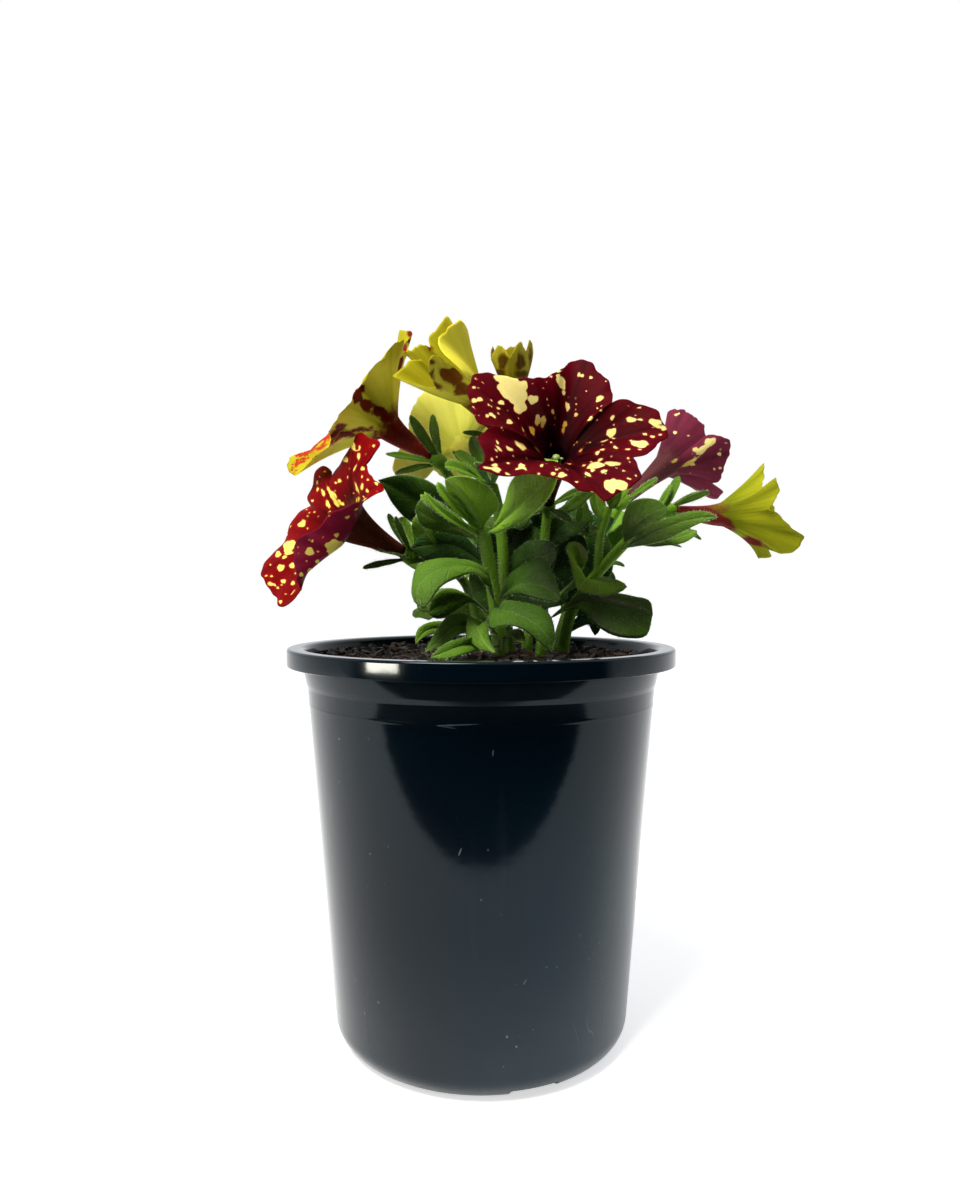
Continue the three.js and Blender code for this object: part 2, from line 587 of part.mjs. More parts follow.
function potSolid() {
  const outer = [[0, 0], [potRadiusAt(0) - cornerRadius, 0]];
  for (const angle of [30, 60, 90]) {
    outer.push([
      potRadiusAt(cornerRadius) - cornerRadius * (1 - Math.sin(radians(angle))),
      cornerRadius * (1 - Math.cos(radians(angle))),
    ]);
  }
  outer.push([potRadiusAt(shoulderHeight), shoulderHeight]);
  outer.push([potRadiusAt(shoulderHeight) + shoulderStep, shoulderHeight + shoulderRise]);
  const rimTop = potHeight - rimWall;
  const inner = [
    [bodyTopRadius, rimTop],
    [rimRadius - rimWall, rimTop],
    [rimRadius - rimWall, potHeight - rimDepth],
    [rimRadius - rimRounding / 3, potHeight - rimDepth],
    [rimRadius, potHeight - rimDepth + rimRounding],
    [rimRadius, potHeight - rimRounding],
    [rimRadius - rimRounding, potHeight],
    [bodyTopRadius + rimRounding, potHeight],
    [bodyTopRadius - potWall, potHeight - rimRounding - potWall / 3],
    [potRadiusAt(shoulderHeight) + shoulderStep - potWall, shoulderHeight + shoulderRise],
    [potRadiusAt(shoulderHeight) - potWall, shoulderHeight],
    [potRadiusAt(cornerRadius) - potWall, cornerRadius],
    [potRadiusAt(cornerRadius) - potWall - cornerRadius * 0.3, cornerRadius * 0.35],
    [potRadiusAt(0) - cornerRadius, potWall],
    [0, potWall],
  ];
  const profile = outer.concat(inner).map(([r, z]) => new THREE.Vector2(r, z));
  const lathe = new THREE.LatheGeometry(profile, potFacets);
  lathe.rotateX(Math.PI / 2);
  let pot = solidOf(lathe);
  for (let i = 0; i < notchCount; i += 1) {
    const notch = new THREE.BoxGeometry(2 * cornerRadius, notchWidth, 2 * notchHeight);
    notch.translate(potRadiusAt(0), 0, 0);
    notch.rotateZ(radians(notchTurn + i * 360 / notchCount));
    pot = pot.subtract(solidOf(notch));
  }
  return pot;
}

// Height of the potting mix before the chips
function mixHeight(x, y) {
  const grain = Math.sin(x * 0.41 + 1) * Math.cos(y * 0.37) + 0.6 * Math.sin(x * 0.93 - y * 0.71);
  return mixLevel + mixRelief * grain;
}

function mixSolid() {
  const insideAt = (z) => potRadiusAt(z) - potWall - clearance;
  const ringOf = (radius, height) => Array.from({ length: mixFacets }, (_, i) => {
    const angle = (i / mixFacets) * 2 * Math.PI;
    const [x, y] = [radius * Math.cos(angle), radius * Math.sin(angle)];
    return point(x, y, height(x, y));
  });
  const flat = (z) => () => z;
  const rings = [
    ringOf(potRadiusAt(0) - cornerRadius * 1.2, flat(potWall + clearance)),
    ringOf(insideAt(cornerRadius) - cornerRadius * 0.4, flat(cornerRadius * 0.5)),
    ringOf(insideAt(cornerRadius) - clearance, flat(cornerRadius * 1.1)),
    ringOf(insideAt(shoulderHeight) - clearance, flat(shoulderHeight)),
    ringOf(insideAt(mixLevel) - clearance, mixHeight),
  ];
  for (let i = mixRings - 1; i >= 1; i -= 1) rings.push(ringOf(insideAt(mixLevel) * i / mixRings, mixHeight));
  const solids = [solidOfRings(rings)];
  const random = randomNumbers(11);
  while (solids.length <= chipCount) {
    const radius = chipNearest + (chipFarthest - chipNearest) * Math.sqrt(random());
    const angle = random() * 2 * Math.PI;
    const [x, y] = [radius * Math.cos(angle), radius * Math.sin(angle)];
    const chip = new THREE.BoxGeometry(5 + 6 * random(), 2 + 2.5 * random(), chipThickness);
    chip.rotateX((random() - 0.5) * 0.7);
    chip.rotateY((random() - 0.5) * 0.5);
    chip.rotateZ(random() * Math.PI);
    chip.translate(x, y, mixHeight(x, y) + 0.2);
    solids.push(solidOf(chip));
  }
  let mix = joined(solids);
  for (const shoot of shoots) {
    const [foot, above] = [point(...shoot.path[0]), point(...shoot.path[1])];
    const along = above.clone().sub(foot).normalize();
    const [low, high] = [-clearance, 2 * stemHoleDepth].map((s) => foot.clone().addScaledVector(along, s));
    mix = mix.subtract(stemSolid([low, high], shoot.radius + 2 * clearance, 8));
  }
  return mainBody(mix);
}

const potPlastic = () => new THREE.MeshStandardMaterial({ color: 0x1a2530, roughness: 0.25, metalness: 0 });
const pottingMix = () => new THREE.MeshStandardMaterial({ color: 0x2c1f18, roughness: 0.95, metalness: 0 });
const foliage = () => new THREE.MeshStandardMaterial({ color: 0x3f7a35, roughness: 0.6, metalness: 0 });
const petals = (colour) => new THREE.MeshStandardMaterial({ color: colour, roughness: 0.55, metalness: 0 });

function mesh(name, solid, material) {
  const piece = new THREE.Mesh(geometryOf(solid), material);
  piece.name = name;
  return piece;
}

const petunia = new THREE.Group();
petunia.add(mesh('pot', potSolid(), potPlastic()));
petunia.add(mesh('potting_mix', mixSolid(), pottingMix()));
for (const shoot of shoots) petunia.add(mesh(shoot.name, shootSolid(shoot), foliage()));
for (const bloom of blooms) petunia.add(mesh(bloom.name, corollaSolid(bloom), petals(bloom.colour)));

export default petunia;
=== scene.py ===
# Potted petunia: finer leaves, petals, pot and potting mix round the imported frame
import json
import math
import bpy
import numpy as np
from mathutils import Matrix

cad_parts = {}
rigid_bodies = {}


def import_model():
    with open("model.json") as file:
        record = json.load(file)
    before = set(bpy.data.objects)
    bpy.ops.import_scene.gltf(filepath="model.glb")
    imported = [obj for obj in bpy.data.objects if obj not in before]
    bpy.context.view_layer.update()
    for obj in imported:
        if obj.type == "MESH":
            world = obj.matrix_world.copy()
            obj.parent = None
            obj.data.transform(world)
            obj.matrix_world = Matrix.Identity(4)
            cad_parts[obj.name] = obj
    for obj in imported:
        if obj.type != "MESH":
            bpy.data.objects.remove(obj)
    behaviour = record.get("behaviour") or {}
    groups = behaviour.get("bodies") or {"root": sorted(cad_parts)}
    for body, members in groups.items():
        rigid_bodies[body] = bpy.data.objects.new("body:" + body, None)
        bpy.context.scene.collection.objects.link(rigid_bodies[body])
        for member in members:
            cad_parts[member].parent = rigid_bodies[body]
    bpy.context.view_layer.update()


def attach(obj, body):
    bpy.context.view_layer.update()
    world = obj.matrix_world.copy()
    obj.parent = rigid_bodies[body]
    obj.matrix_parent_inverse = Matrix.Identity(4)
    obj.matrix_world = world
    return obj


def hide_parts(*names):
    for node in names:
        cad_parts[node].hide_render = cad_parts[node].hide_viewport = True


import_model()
mm = 0.001
print("frame loaded")


# camera, light and floor

studio = {
    "cameraPlace": (-0.4, -320, 162.6),    # mm
    "cameraPitch": 0.0186,                 # radians below level
    "focalPixels": 870,
    "photoWidth": 960,                     # pixels
    "photoHeight": 1200,
    "sensor": 36,                          # mm
    "clipStart": 0.01,                     # m
    "floorFront": -0.205,                  # m, where the pale table ends towards the camera
    "floorReach": 12,
    "floorColour": (0.93, 0.93, 0.93, 1),
    "floorGlow": 0.62,
    "ambient": (0.94, 0.97, 1.0, 1),       # what gloss reflects
    "softAmbient": (0.42, 0.44, 0.46, 1),  # what lights matt surfaces
    "darkFront": (0.012, 0.015, 0.02, 1),  # the room behind the camera, and where it ends
    "roomWidening": 0.22,
    "roomEdge": (-0.05, 0.12),
    "roomTop": (0.45, 0.75),
    "lightsAimAt": (0, 0, 0.15),
    "sideLight": {"place": (-0.88, -0.63, 0.16), "power": 26, "size": (0.36, 0.26), "tint": (1, 0.84, 0.66),
                  "glossOnly": True},
    "topLight": {"place": (-0.35, -0.45, 1.15), "power": 22, "size": (0.5, 0.5), "tint": (1, 0.98, 0.95)},
}


def deselectAll():
    if bpy.context.object and bpy.context.object.mode != "OBJECT":
        bpy.ops.object.mode_set(mode="OBJECT")
    bpy.ops.object.select_all(action="DESELECT")


def aim(light, target):
    x, y, z = np.array(target) - np.array(light.location)
    light.rotation_euler = (math.pi / 2 + math.atan2(z, math.hypot(x, y)), 0, math.atan2(-x, y))


def addCamera():
    deselectAll()
    bpy.ops.object.camera_add(location=[value * mm for value in studio["cameraPlace"]])
    camera = bpy.context.object
    camera.rotation_euler = (math.pi / 2 - studio["cameraPitch"], 0, 0)
    camera.data.sensor_width = studio["sensor"]
    camera.data.lens = studio["focalPixels"] / studio["photoHeight"] * studio["sensor"]
    camera.data.clip_start = studio["clipStart"]
    bpy.context.scene.camera = camera


def fromPhoto(px, py, y):
    # the point in mm that shows at a pixel of the photo and stands at y
    pitch = studio["cameraPitch"]
    eye = np.array(studio["cameraPlace"])
    aside = (px - studio["photoWidth"] / 2) / studio["focalPixels"]
    rise = (studio["photoHeight"] / 2 - py) / studio["focalPixels"]
    ahead = math.cos(pitch) + rise * math.sin(pitch)
    above = rise * math.cos(pitch) - math.sin(pitch)
    return eye + (y - eye[1]) / ahead * np.array([aside, ahead, above])


def photoPlaces(places):
    # where points in mm show in the photo, in its pixels, and how far off they are
    offset = places - np.array(studio["cameraPlace"])
    pitch = studio["cameraPitch"]
    depth = offset[..., 1] * math.cos(pitch) - offset[..., 2] * math.sin(pitch)
    rise = offset[..., 1] * math.sin(pitch) + offset[..., 2] * math.cos(pitch)
    scale = studio["focalPixels"] / depth
    return studio["photoWidth"] / 2 + offset[..., 0] * scale, studio["photoHeight"] / 2 - rise * scale, depth


def addSoftLight(look):
    deselectAll()
    bpy.ops.object.light_add(type="AREA", location=look["place"])
    light = bpy.context.object
    light.data.shape = "RECTANGLE"
    light.data.size, light.data.size_y = look["size"]
    light.data.energy = look["power"]
    light.data.color = look["tint"]
    light.visible_camera = False
    light.visible_diffuse = not look.get("glossOnly", False)
    aim(light, studio["lightsAimAt"])


def addFloor():
    # a pale table top, whose front edge shows as the curved boundary in the pot's gloss
    deselectAll()
    reach = studio["floorReach"]
    bpy.ops.mesh.primitive_plane_add(size=1, location=(0, studio["floorFront"] + reach / 2, 0))
    floor = bpy.context.object
    floor.name = "floor"
    floor.scale = (reach, reach, 1)
    bpy.ops.object.transform_apply(location=True, scale=True)
    finish = Finish("paleFloor", Roughness=0.9, Base_Color=studio["floorColour"], Emission_Color=(1, 1, 1, 1),
                    Emission_Strength=studio["floorGlow"])
    wear(floor, finish.material)


def addWorld():
    # white all round, with a dark room towards the camera in reflections
    world = bpy.data.worlds.new("studio")
    bpy.context.scene.world = world
    world.use_nodes = True
    nodes = Nodes(world.node_tree)
    isCamera = nodes.node("ShaderNodeLightPath", output="Is Camera Ray")
    isDiffuse = nodes.node("ShaderNodeLightPath", output="Is Diffuse Ray")
    around = nodes.mixed(isDiffuse, studio["ambient"], studio["softAmbient"])
    way = nodes.node("ShaderNodeTexCoord", output="Generated")
    x, y, z = nodes.axes(way)
    front = (0 - y - studio["roomWidening"] * abs(x)).step(*studio["roomEdge"])
    front = front * (1 - z.step(*studio["roomTop"]))
    light = nodes.mixed(front, around, studio["darkFront"])
    background = world.node_tree.nodes["Background"]
    nodes.tree.links.new(nodes.mixed(isCamera, light, (1, 1, 1, 1)).socket, background.inputs["Color"])


# materials

def colour(code):
    # linear colour of an sRGB hex code
    parts = [int(code[i:i + 2], 16) / 255 for i in (1, 3, 5)]
    return tuple(p / 12.92 if p <= 0.04045 else ((p + 0.055) / 1.055) ** 2.4 for p in parts) + (1,)


class Field:
    # a socket that adds its Math nodes by itself
    def __init__(self, tree, socket):
        self.tree = tree
        self.socket = socket

    def maths(self, operation, *values, clamp=False):
        node = self.tree.nodes.new("ShaderNodeMath")
        node.operation = operation
        node.use_clamp = clamp
        for slot, value in zip(node.inputs, values):
            if isinstance(value, Field):
                self.tree.links.new(value.socket, slot)
            else:
                slot.default_value = value
        return Field(self.tree, node.outputs[0])

    def __add__(self, other):
        return self.maths("ADD", self, other)

    def __radd__(self, other):
        return self.maths("ADD", other, self)

    def __sub__(self, other):
        return self.maths("SUBTRACT", self, other)

    def __rsub__(self, other):
        return self.maths("SUBTRACT", other, self)

    def __mul__(self, other):
        return self.maths("MULTIPLY", self, other)

    def __rmul__(self, other):
        return self.maths("MULTIPLY", other, self)

    def __abs__(self):
        return self.maths("ABSOLUTE", self)

    def wave(self):
        return self.maths("SINE", self)

    def clamped(self):
        return self.maths("ADD", self, 0, clamp=True)

    def step(self, low, high):
        # 0 below low, 1 above high, smooth between
        node = self.tree.nodes.new("ShaderNodeMapRange")
        node.interpolation_type = "SMOOTHSTEP"
        self.tree.links.new(self.socket, node.inputs["Value"])
        node.inputs["From Min"].default_value = low
        node.inputs["From Max"].default_value = high
        return Field(self.tree, node.outputs["Result"])


class Nodes:
    # a node tree and the ways to add to it
    def __init__(self, tree):
        self.tree = tree

    def node(self, kind, settings=None, inputs=None, output=0):
        made = self.tree.nodes.new(kind)
        for key, value in (settings or {}).items():
            setattr(made, key, value)
        for key, value in (inputs or {}).items():
            if isinstance(value, Field):
                self.tree.links.new(value.socket, made.inputs[key])
            else:
                made.inputs[key].default_value = value
        return Field(self.tree, made.outputs[output])

    def attribute(self, name):
        return self.node("ShaderNodeAttribute", {"attribute_name": name}, output="Fac")

    def place(self):
        return self.node("ShaderNodeTexCoord", output="Object")

    def axes(self, vector):
        split = self.node("ShaderNodeSeparateXYZ", inputs={0: vector})
        return [Field(self.tree, output) for output in split.socket.node.outputs]

    def noise(self, scale, detail=3, roughness=0.5, stretch=None):
        where = self.place()
        if stretch:
            where = self.node("ShaderNodeMapping", inputs={"Vector": where, "Scale": stretch})
        inputs = {"Vector": where, "Scale": scale, "Detail": detail, "Roughness": roughness}
        return self.node("ShaderNodeTexNoise", inputs=inputs)

    def cells(self, scale, feature="F1"):
        return self.node("ShaderNodeTexVoronoi", {"feature": feature},
                         {"Vector": self.place(), "Scale": scale}, "Distance")

    def mixed(self, share, first, second):
        # each colour is a field, a tuple or a hex code
        first, second = [colour(given) if isinstance(given, str) else given for given in (first, second)]
        return self.node("ShaderNodeMix", {"data_type": "RGBA"}, {0: share, 6: first, 7: second}, output=2)


class Finish(Nodes):
    # one material round its Principled shader
    def __init__(self, name, **constants):
        self.material = bpy.data.materials.new(name)
        self.material.use_nodes = True
        super().__init__(self.material.node_tree)
        self.shader = self.tree.nodes["Principled BSDF"]
        for socket, value in constants.items():
            self.shader.inputs[socket.replace("_", " ")].default_value = value

    def feed(self, socket, field):
        self.tree.links.new(field.socket, self.shader.inputs[socket])

    def relief(self, height, depth, strength=1):
        bump = self.node("ShaderNodeBump", inputs={"Height": height, "Distance": depth, "Strength": strength})
        self.feed("Normal", bump)


def potFinish():
    finish = Finish("potPlastic", IOR=1.5, Specular_IOR_Level=0.19, Specular_Tint=(0.72, 0.88, 0.96, 1))
    x, y, z = finish.axes(finish.place())
    cloudy = finish.noise(18, 4)
    streaks = finish.noise(60, 3, stretch=(1, 1, 0.05)).step(0.64, 0.74)
    specks = 1 - finish.cells(240).step(0.07, 0.11)
    sparse = finish.noise(45, 2).step(0.6, 0.66)
    waves = abs(finish.noise(26, 2, stretch=(1.6, 1.6, 0.4)) - 0.5)
    scratches = (1 - waves.step(0.0, 0.0035)) * finish.noise(30, 1).step(0.6, 0.68)
    low = 1 - z.step(0.004, 0.06)
    high = z.step(0.118, 0.128) * (1 - z.step(0.131, 0.134))
    film = low * 0.16 * cloudy + high * cloudy * 0.05 + streaks * 0.02
    dust = film + specks * sparse * (low * 0.5 + 0.12) + scratches * 0.12
    front = 1 - y.step(-0.03, -0.01)
    ragged = (finish.noise(420, 2) - 0.5) * 1.6
    for px, py, long, short, tilt, strength in potScuffs:
        middleX, middleZ = onPotFront(px, py)
        way, rise = math.cos(math.radians(tilt)), math.sin(math.radians(tilt))
        aside, above = x - middleX * mm, z - middleZ * mm
        u = (aside * way + above * rise) * (1 / (long * mm))
        v = (above * way - aside * rise) * (1 / (short * mm))
        dust = dust + (1 - (u * u + v * v + ragged).step(0.5, 1.3)) * front * strength * 0.6
    dust = dust.clamped()
    # painted reflection: the left half neutral black and the right half blue-black, as the two sides mirror
    # differently lit surroundings; from 60 mm up to 120 mm the colour darkens further, where the face mirrors
    # the dark room in front
    base = finish.mixed(x.step(-0.03, 0.05), "#0a0c12", "#031822")
    base = finish.mixed(z.step(0.06, 0.12), base, "#020b12")
    finish.feed("Base Color", finish.mixed(dust, base, "#6a7278"))
    finish.feed("Roughness", 0.075 + cloudy * 0.05 + dust * 0.5 + low * 0.08)
    finish.relief(finish.noise(220, 2), 0.00002)
    return finish.material


def mixFinish():
    finish = Finish("dampBark")
    grain = finish.noise(420, 4, 0.65)
    patch = finish.noise(70, 3)
    tone = finish.attribute("tone")
    dark = finish.mixed(grain, "#0d0805", "#2e1d12")
    red = finish.mixed(grain, "#241209", "#6a3c1c")
    wood = finish.mixed(tone.step(0.66, 0.9), dark, red)
    finish.feed("Base Color", finish.mixed(patch.step(0.55, 0.75) * 0.6, wood, "#1b130d"))
    finish.feed("Roughness", 0.55 + grain * 0.4)
    finish.relief(grain + finish.noise(900, 2) * 0.5, 0.0005)
    return finish.material


def foliageFinish():
    finish = Finish("leafGreen", Specular_IOR_Level=0.09)
    across = finish.attribute("across")
    along = finish.attribute("along")
    half = finish.attribute("halfWidth")
    tone = finish.attribute("tone")
    upper = finish.attribute("upper")
    isLeaf = finish.attribute("isLeaf")
    side = abs(across)
    patches = finish.noise(95, 3)
    pores = finish.noise(1500, 2)
    mesh = finish.cells(520, feature="DISTANCE_TO_EDGE").step(0.02, 0.14)
    # painted light and shade: each leaf's tone darkens leaves in shade and brightens lit ones, with random
    # patches and pores on top
    shade = (tone + patches * 0.3 - 0.15 + pores * 0.08).clamped()
    top = finish.mixed(shade, "#052807", "#7aac22")
    below = finish.mixed(shade, "#123820", "#76a462")
    pale = finish.mixed(shade, "#204a18", "#a0c058")
    green = finish.mixed(upper.step(0.4, 0.6), below, top)
    green = finish.mixed(pores.step(0.5, 0.75) * 0.3, green, pale)
    midrib = 1 - (side * half).step(0.12, 0.55)
    phase = (along * leafShape["veins"] - side * leafShape["veinSlope"] + patches * 0.25) * 2 * math.pi
    veins = phase.wave().step(0.9, 1) * side.step(0.04, 0.2) * (1 - side.step(0.7, 0.95)) * isLeaf
    lines = (midrib * isLeaf * 0.6 + veins * 0.3 + (1 - mesh) * 0.14 * isLeaf).clamped()
    green = finish.mixed(lines, green, pale)
    edge = side.step(0.94, 1) * 0.55 * isLeaf
    edgeGreen = finish.mixed(shade, "#3e6a34", "#aecb78")
    finish.feed("Base Color", finish.mixed(edge, green, edgeGreen))
    finish.feed("Roughness", 0.5 + patches * 0.2)
    finish.relief(pores * 0.35 + patches * 0.6 - veins * 0.9 - midrib * 0.7 + mesh * 0.35, 0.0003, 0.75)
    return finish.material


def hairFinish():
    finish = Finish("plantHair", Roughness=0.6)
    finish.feed("Base Color", finish.mixed(finish.noise(300, 1), "#c9d6b0", "#eef2e0"))
    return finish.material


def petalFinish(name, looks):
    # inside and outside colours with pale marks, and dark stains and painted shade, that follow the bloom's
    # own patches
    finish = Finish(name, Specular_IOR_Level=0.02)
    inside = finish.attribute("inside").step(0.4, 0.6)
    out = finish.attribute("out")
    flow = finish.attribute("flow")
    rib = finish.attribute("rib")
    fan = finish.attribute("fan")
    fine = finish.noise(650, 3, 0.6)
    broad = finish.noise(90, 3)
    innerTone = (broad * 0.5 + out * 0.75 - rib * 0.2 - fan * 0.12 - 0.2).clamped()
    inner = finish.mixed(innerTone, *looks["inner"])
    outerTone = (broad * 0.6 + flow * 0.5 - rib * 0.3 - fan * 0.1).clamped()
    outer = finish.mixed(outerTone, *looks["outer"])
    ground = finish.mixed(inside, outer, inner)
    veined = finish.noise(260, 4, 0.7) - 0.5
    neckStrength, low, high = looks["neck"]
    neck = (1 - (flow + veined * 0.35).step(low, high)) * neckStrength
    # dark stains, and on the top bud painted shade inside it
    stainsAndShade = 1 - (finish.attribute("stainsAndShade") + veined * looks["stainAndShadeRagged"]).step(-0.6, 0.5)
    dark = (neck + stainsAndShade).clamped()
    ground = finish.mixed(dark, ground, finish.mixed(fine, *looks["blotchAndShade"]))
    edge = finish.attribute("marks") + (finish.noise(700, 2) - 0.5) * looks["markRagged"]
    core = 1 - edge.step(-0.2, 0.02)
    halo = 1 - edge.step(-0.1, 0.6)
    specks = (1 - finish.cells(300).step(0.12, 0.2)) * finish.noise(110, 2).step(0.55, 0.66) * looks["specks"]
    haloColour, haloStrength = looks["halo"]
    ground = finish.mixed(halo * haloStrength, ground, haloColour)
    markThroat, markDeep, markPale = looks["mark"]
    cream = finish.mixed(fine * 0.6 + broad * 0.3, markDeep, markPale)
    cream = finish.mixed(out.step(0.2, 0.55), markThroat, cream)
    finish.feed("Base Color", finish.mixed(core.maths("MAXIMUM", core, specks), ground, cream))
    finish.feed("Roughness", 0.42 + fine * 0.25)
    finish.relief(fine * 0.4 + rib * 0.5 + fan * 0.3, 0.00022, 0.6)
    return finish.material


def pistilFinish():
    finish = Finish("stigmaGreen", Roughness=0.35)
    finish.feed("Base Color", finish.mixed(finish.noise(400, 2), "#4f7a2c", "#b7c56a"))
    return finish.material


# shaping tools

def unit(vector):
    vector = np.asarray(vector, float)
    return vector / np.maximum(np.linalg.norm(vector, axis=-1, keepdims=True), 1e-12)


def smoothPath(points, count):
    # centripetal curve through points, at count places evenly spaced along it
    points = np.array(points, float)
    ends = np.vstack([2 * points[0] - points[1], points, 2 * points[-1] - points[-2]])
    dense = []
    for i in range(1, len(ends) - 2):
        p0, p1, p2, p3 = ends[i - 1:i + 3]
        d0, d1, d2 = [max(np.sum((b - a) ** 2) ** 0.25, 1e-4) for a, b in ((p0, p1), (p1, p2), (p2, p3))]
        t1 = ((p1 - p0) / d0 - (p2 - p0) / (d0 + d1) + (p2 - p1) / d1) * d1
        t2 = ((p2 - p1) / d1 - (p3 - p1) / (d1 + d2) + (p3 - p2) / d2) * d1
        w = np.linspace(0, 1, 40, endpoint=False)[:, None]
        square, cube = -3 * p1 + 3 * p2 - 2 * t1 - t2, 2 * p1 - 2 * p2 + t1 + t2
        dense.append(p1 + t1 * w + square * w ** 2 + cube * w ** 3)
    dense = np.vstack(dense + [points[-1:]])
    length = np.concatenate([[0], np.cumsum(np.linalg.norm(np.diff(dense, axis=0), axis=1))])
    wanted = np.linspace(0, length[-1], count)
    return np.stack([np.interp(wanted, length, dense[:, k]) for k in range(3)], axis=1)


def shapedTube(name, around, rows, places, attributes):
    # grid primitive wrapped round: places is (rows + 1, around, 3) in mm, its first and last rows are points
    deselectAll()
    bpy.ops.mesh.primitive_grid_add(x_subdivisions=around, y_subdivisions=rows, size=2)
    piece = bpy.context.object
    piece.name = name
    count = len(piece.data.vertices)
    spots = np.zeros(count * 3)
    piece.data.vertices.foreach_get("co", spots)
    spots = spots.reshape(-1, 3)
    col = np.rint((spots[:, 0] + 1) / 2 * around).astype(int) % around
    row = np.rint((spots[:, 1] + 1) / 2 * rows).astype(int)
    piece.data.vertices.foreach_set("co", (places[row, col] * mm).ravel())
    for label, values in attributes.items():
        made = piece.data.attributes.new(label, "FLOAT", "POINT")
        spread = np.broadcast_to(np.asarray(values, float), places.shape[:2])
        made.data.foreach_set("value", spread[row, col].ravel())
    bpy.ops.object.mode_set(mode="EDIT")
    bpy.ops.mesh.select_all(action="SELECT")
    bpy.ops.mesh.remove_doubles(threshold=0.000001)
    bpy.ops.mesh.normals_make_consistent(inside=False)
    bpy.ops.object.mode_set(mode="OBJECT")
    bpy.ops.object.shade_smooth()
    return piece


def joinPieces(name, pieces):
    deselectAll()
    for piece in pieces:
        piece.select_set(True)
    bpy.context.view_layer.objects.active = pieces[0]
    if len(pieces) > 1:
        bpy.ops.object.join()
    whole = bpy.context.object
    whole.name = name
    whole.data.name = name
    return whole


def handOver(piece, node):
    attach(piece, "root")
    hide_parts(node)


def wear(piece, *materials):
    piece.data.materials.clear()
    for material in materials:
        piece.data.materials.append(material)


def tubeAlong(name, path, radii, sides=12, step=1.6, rounded=1, **attributes):
    # round stem or tube with closed ends
    path = np.array(path, float)
    length = np.sum(np.linalg.norm(np.diff(path, axis=0), axis=1))
    count = max(6, int(length / step))
    line = smoothPath(path, count)
    ahead = unit(np.gradient(line, axis=0))
    right = unit(np.cross(ahead, [0.13, 1, 0.21]))
    up = np.cross(right, ahead)
    radius = np.interp(np.linspace(0, 1, count), np.linspace(0, 1, len(radii)), radii)
    angle = np.linspace(0, 2 * np.pi, sides, endpoint=False)
    rings = line[:, None] + radius[:, None, None] * (
        np.cos(angle)[None, :, None] * right[:, None] + np.sin(angle)[None, :, None] * up[:, None])
    firstCap = np.repeat((line[0] - ahead[0] * radii[0] * 0.3 * rounded)[None, None], sides, axis=1)
    lastCap = np.repeat((line[-1] + ahead[-1] * radii[-1] * 0.3 * rounded)[None, None], sides, axis=1)
    places = np.concatenate([firstCap, rings, lastCap])
    along = np.linspace(0, 1, len(places))[:, None]
    extra = {"along": along, **attributes}
    piece = shapedTube(name, sides, len(places) - 1, places, extra)
    return piece, line, ahead, radius


# hairs: copies of one tapered hair, joined into the piece they grow on

hairShape = {"radius": 0.032, "sides": 3}


def modelHair():
    deselectAll()
    bpy.ops.mesh.primitive_cone_add(vertices=hairShape["sides"], radius1=hairShape["radius"], radius2=0,
                                    depth=1, location=(0, 0, 0.5))
    hair = bpy.context.object
    bpy.ops.object.transform_apply(location=True)
    corners = np.array([v.co for v in hair.data.vertices], float)
    faces = [tuple(p.vertices) for p in hair.data.polygons]
    bpy.data.objects.remove(hair)
    return corners, faces


def growHairs(name, roots, ways, lengths):
    # roots in mm, ways as unit vectors
    corners, faces = modelHair()
    roots, ways = np.array(roots), unit(np.array(ways))
    right = unit(np.cross(ways, [0.31, 0.2, 0.93]))
    up = np.cross(ways, right)
    size = np.array(lengths)[:, None, None]
    places = (roots[:, None] + corners[None, :, :1] * right[:, None] + corners[None, :, 1:2] * up[:, None]
              + corners[None, :, 2:] * size * ways[:, None])
    mesh = bpy.data.meshes.new(name)
    count = len(corners)
    copies = [tuple(i + k * count for i in face) for k in range(len(roots)) for face in faces]
    mesh.from_pydata((places.reshape(-1, 3) * mm).tolist(), [], copies)
    hairs = bpy.data.objects.new(name, mesh)
    bpy.context.scene.collection.objects.link(hairs)
    return hairs


# leaves and leafy stems

leafShape = {
    "thickness": 0.5,
    "smallWidth": 8,        # a narrower leaf has a coarser grid
    "smallGrid": (8, 14),
    "grid": (16, 28),
    "point": 0.62,          # a higher one makes a sharper tip
    "foot": 0.85,
    "roll": -24,            # degrees that each half curls by
    "stalkWidth": 2,
    "stalkHalf": 0.9,
    "least": 0.45,
    "groove": 0.22,
    "grooveHalf": 0.9,
    "veins": 7.5,           # side veins on each half, and how far they lean
    "veinSlope": 1.7,
    "quilt": 0.16,
    "ripple": 0.55,
    "probe": 0.001,         # step that gives the directions of the surface
    "marginHairs": 2.6,     # for each mm of margin
    "faceHairs": 0.35,      # for each square mm
}


def leafOutline(t):
    # share of the greatest half width
    along = np.clip(t, 0, 1)
    foot, point = leafShape["foot"], leafShape["point"]
    widest = foot / (foot + point)
    return along ** foot * (1 - along) ** point / (widest ** foot * (1 - widest) ** point)


def bladeRelief(leaf, t, v, half, broad, wave):
    # height of the ripples, the midrib's groove and the swelling between the veins
    r = np.abs(v)
    ripple = leafShape["ripple"] * leaf.get("ripple", 1) * broad * r ** 3 * wave
    groove = -leafShape["groove"] * broad * np.exp(-(r * half / leafShape["grooveHalf"]) ** 2)
    swell = np.cos((t * leafShape["veins"] - r * leafShape["veinSlope"]) * 2 * math.pi) * r * (1 - r) * 4
    return ripple + groove + leafShape["quilt"] * broad * swell


def curveLine(points, t):
    dense = smoothPath(points, 80)
    places = np.linspace(0, 1, 80)
    return np.stack([np.interp(t, places, dense[:, k]) for k in range(3)], axis=-1)


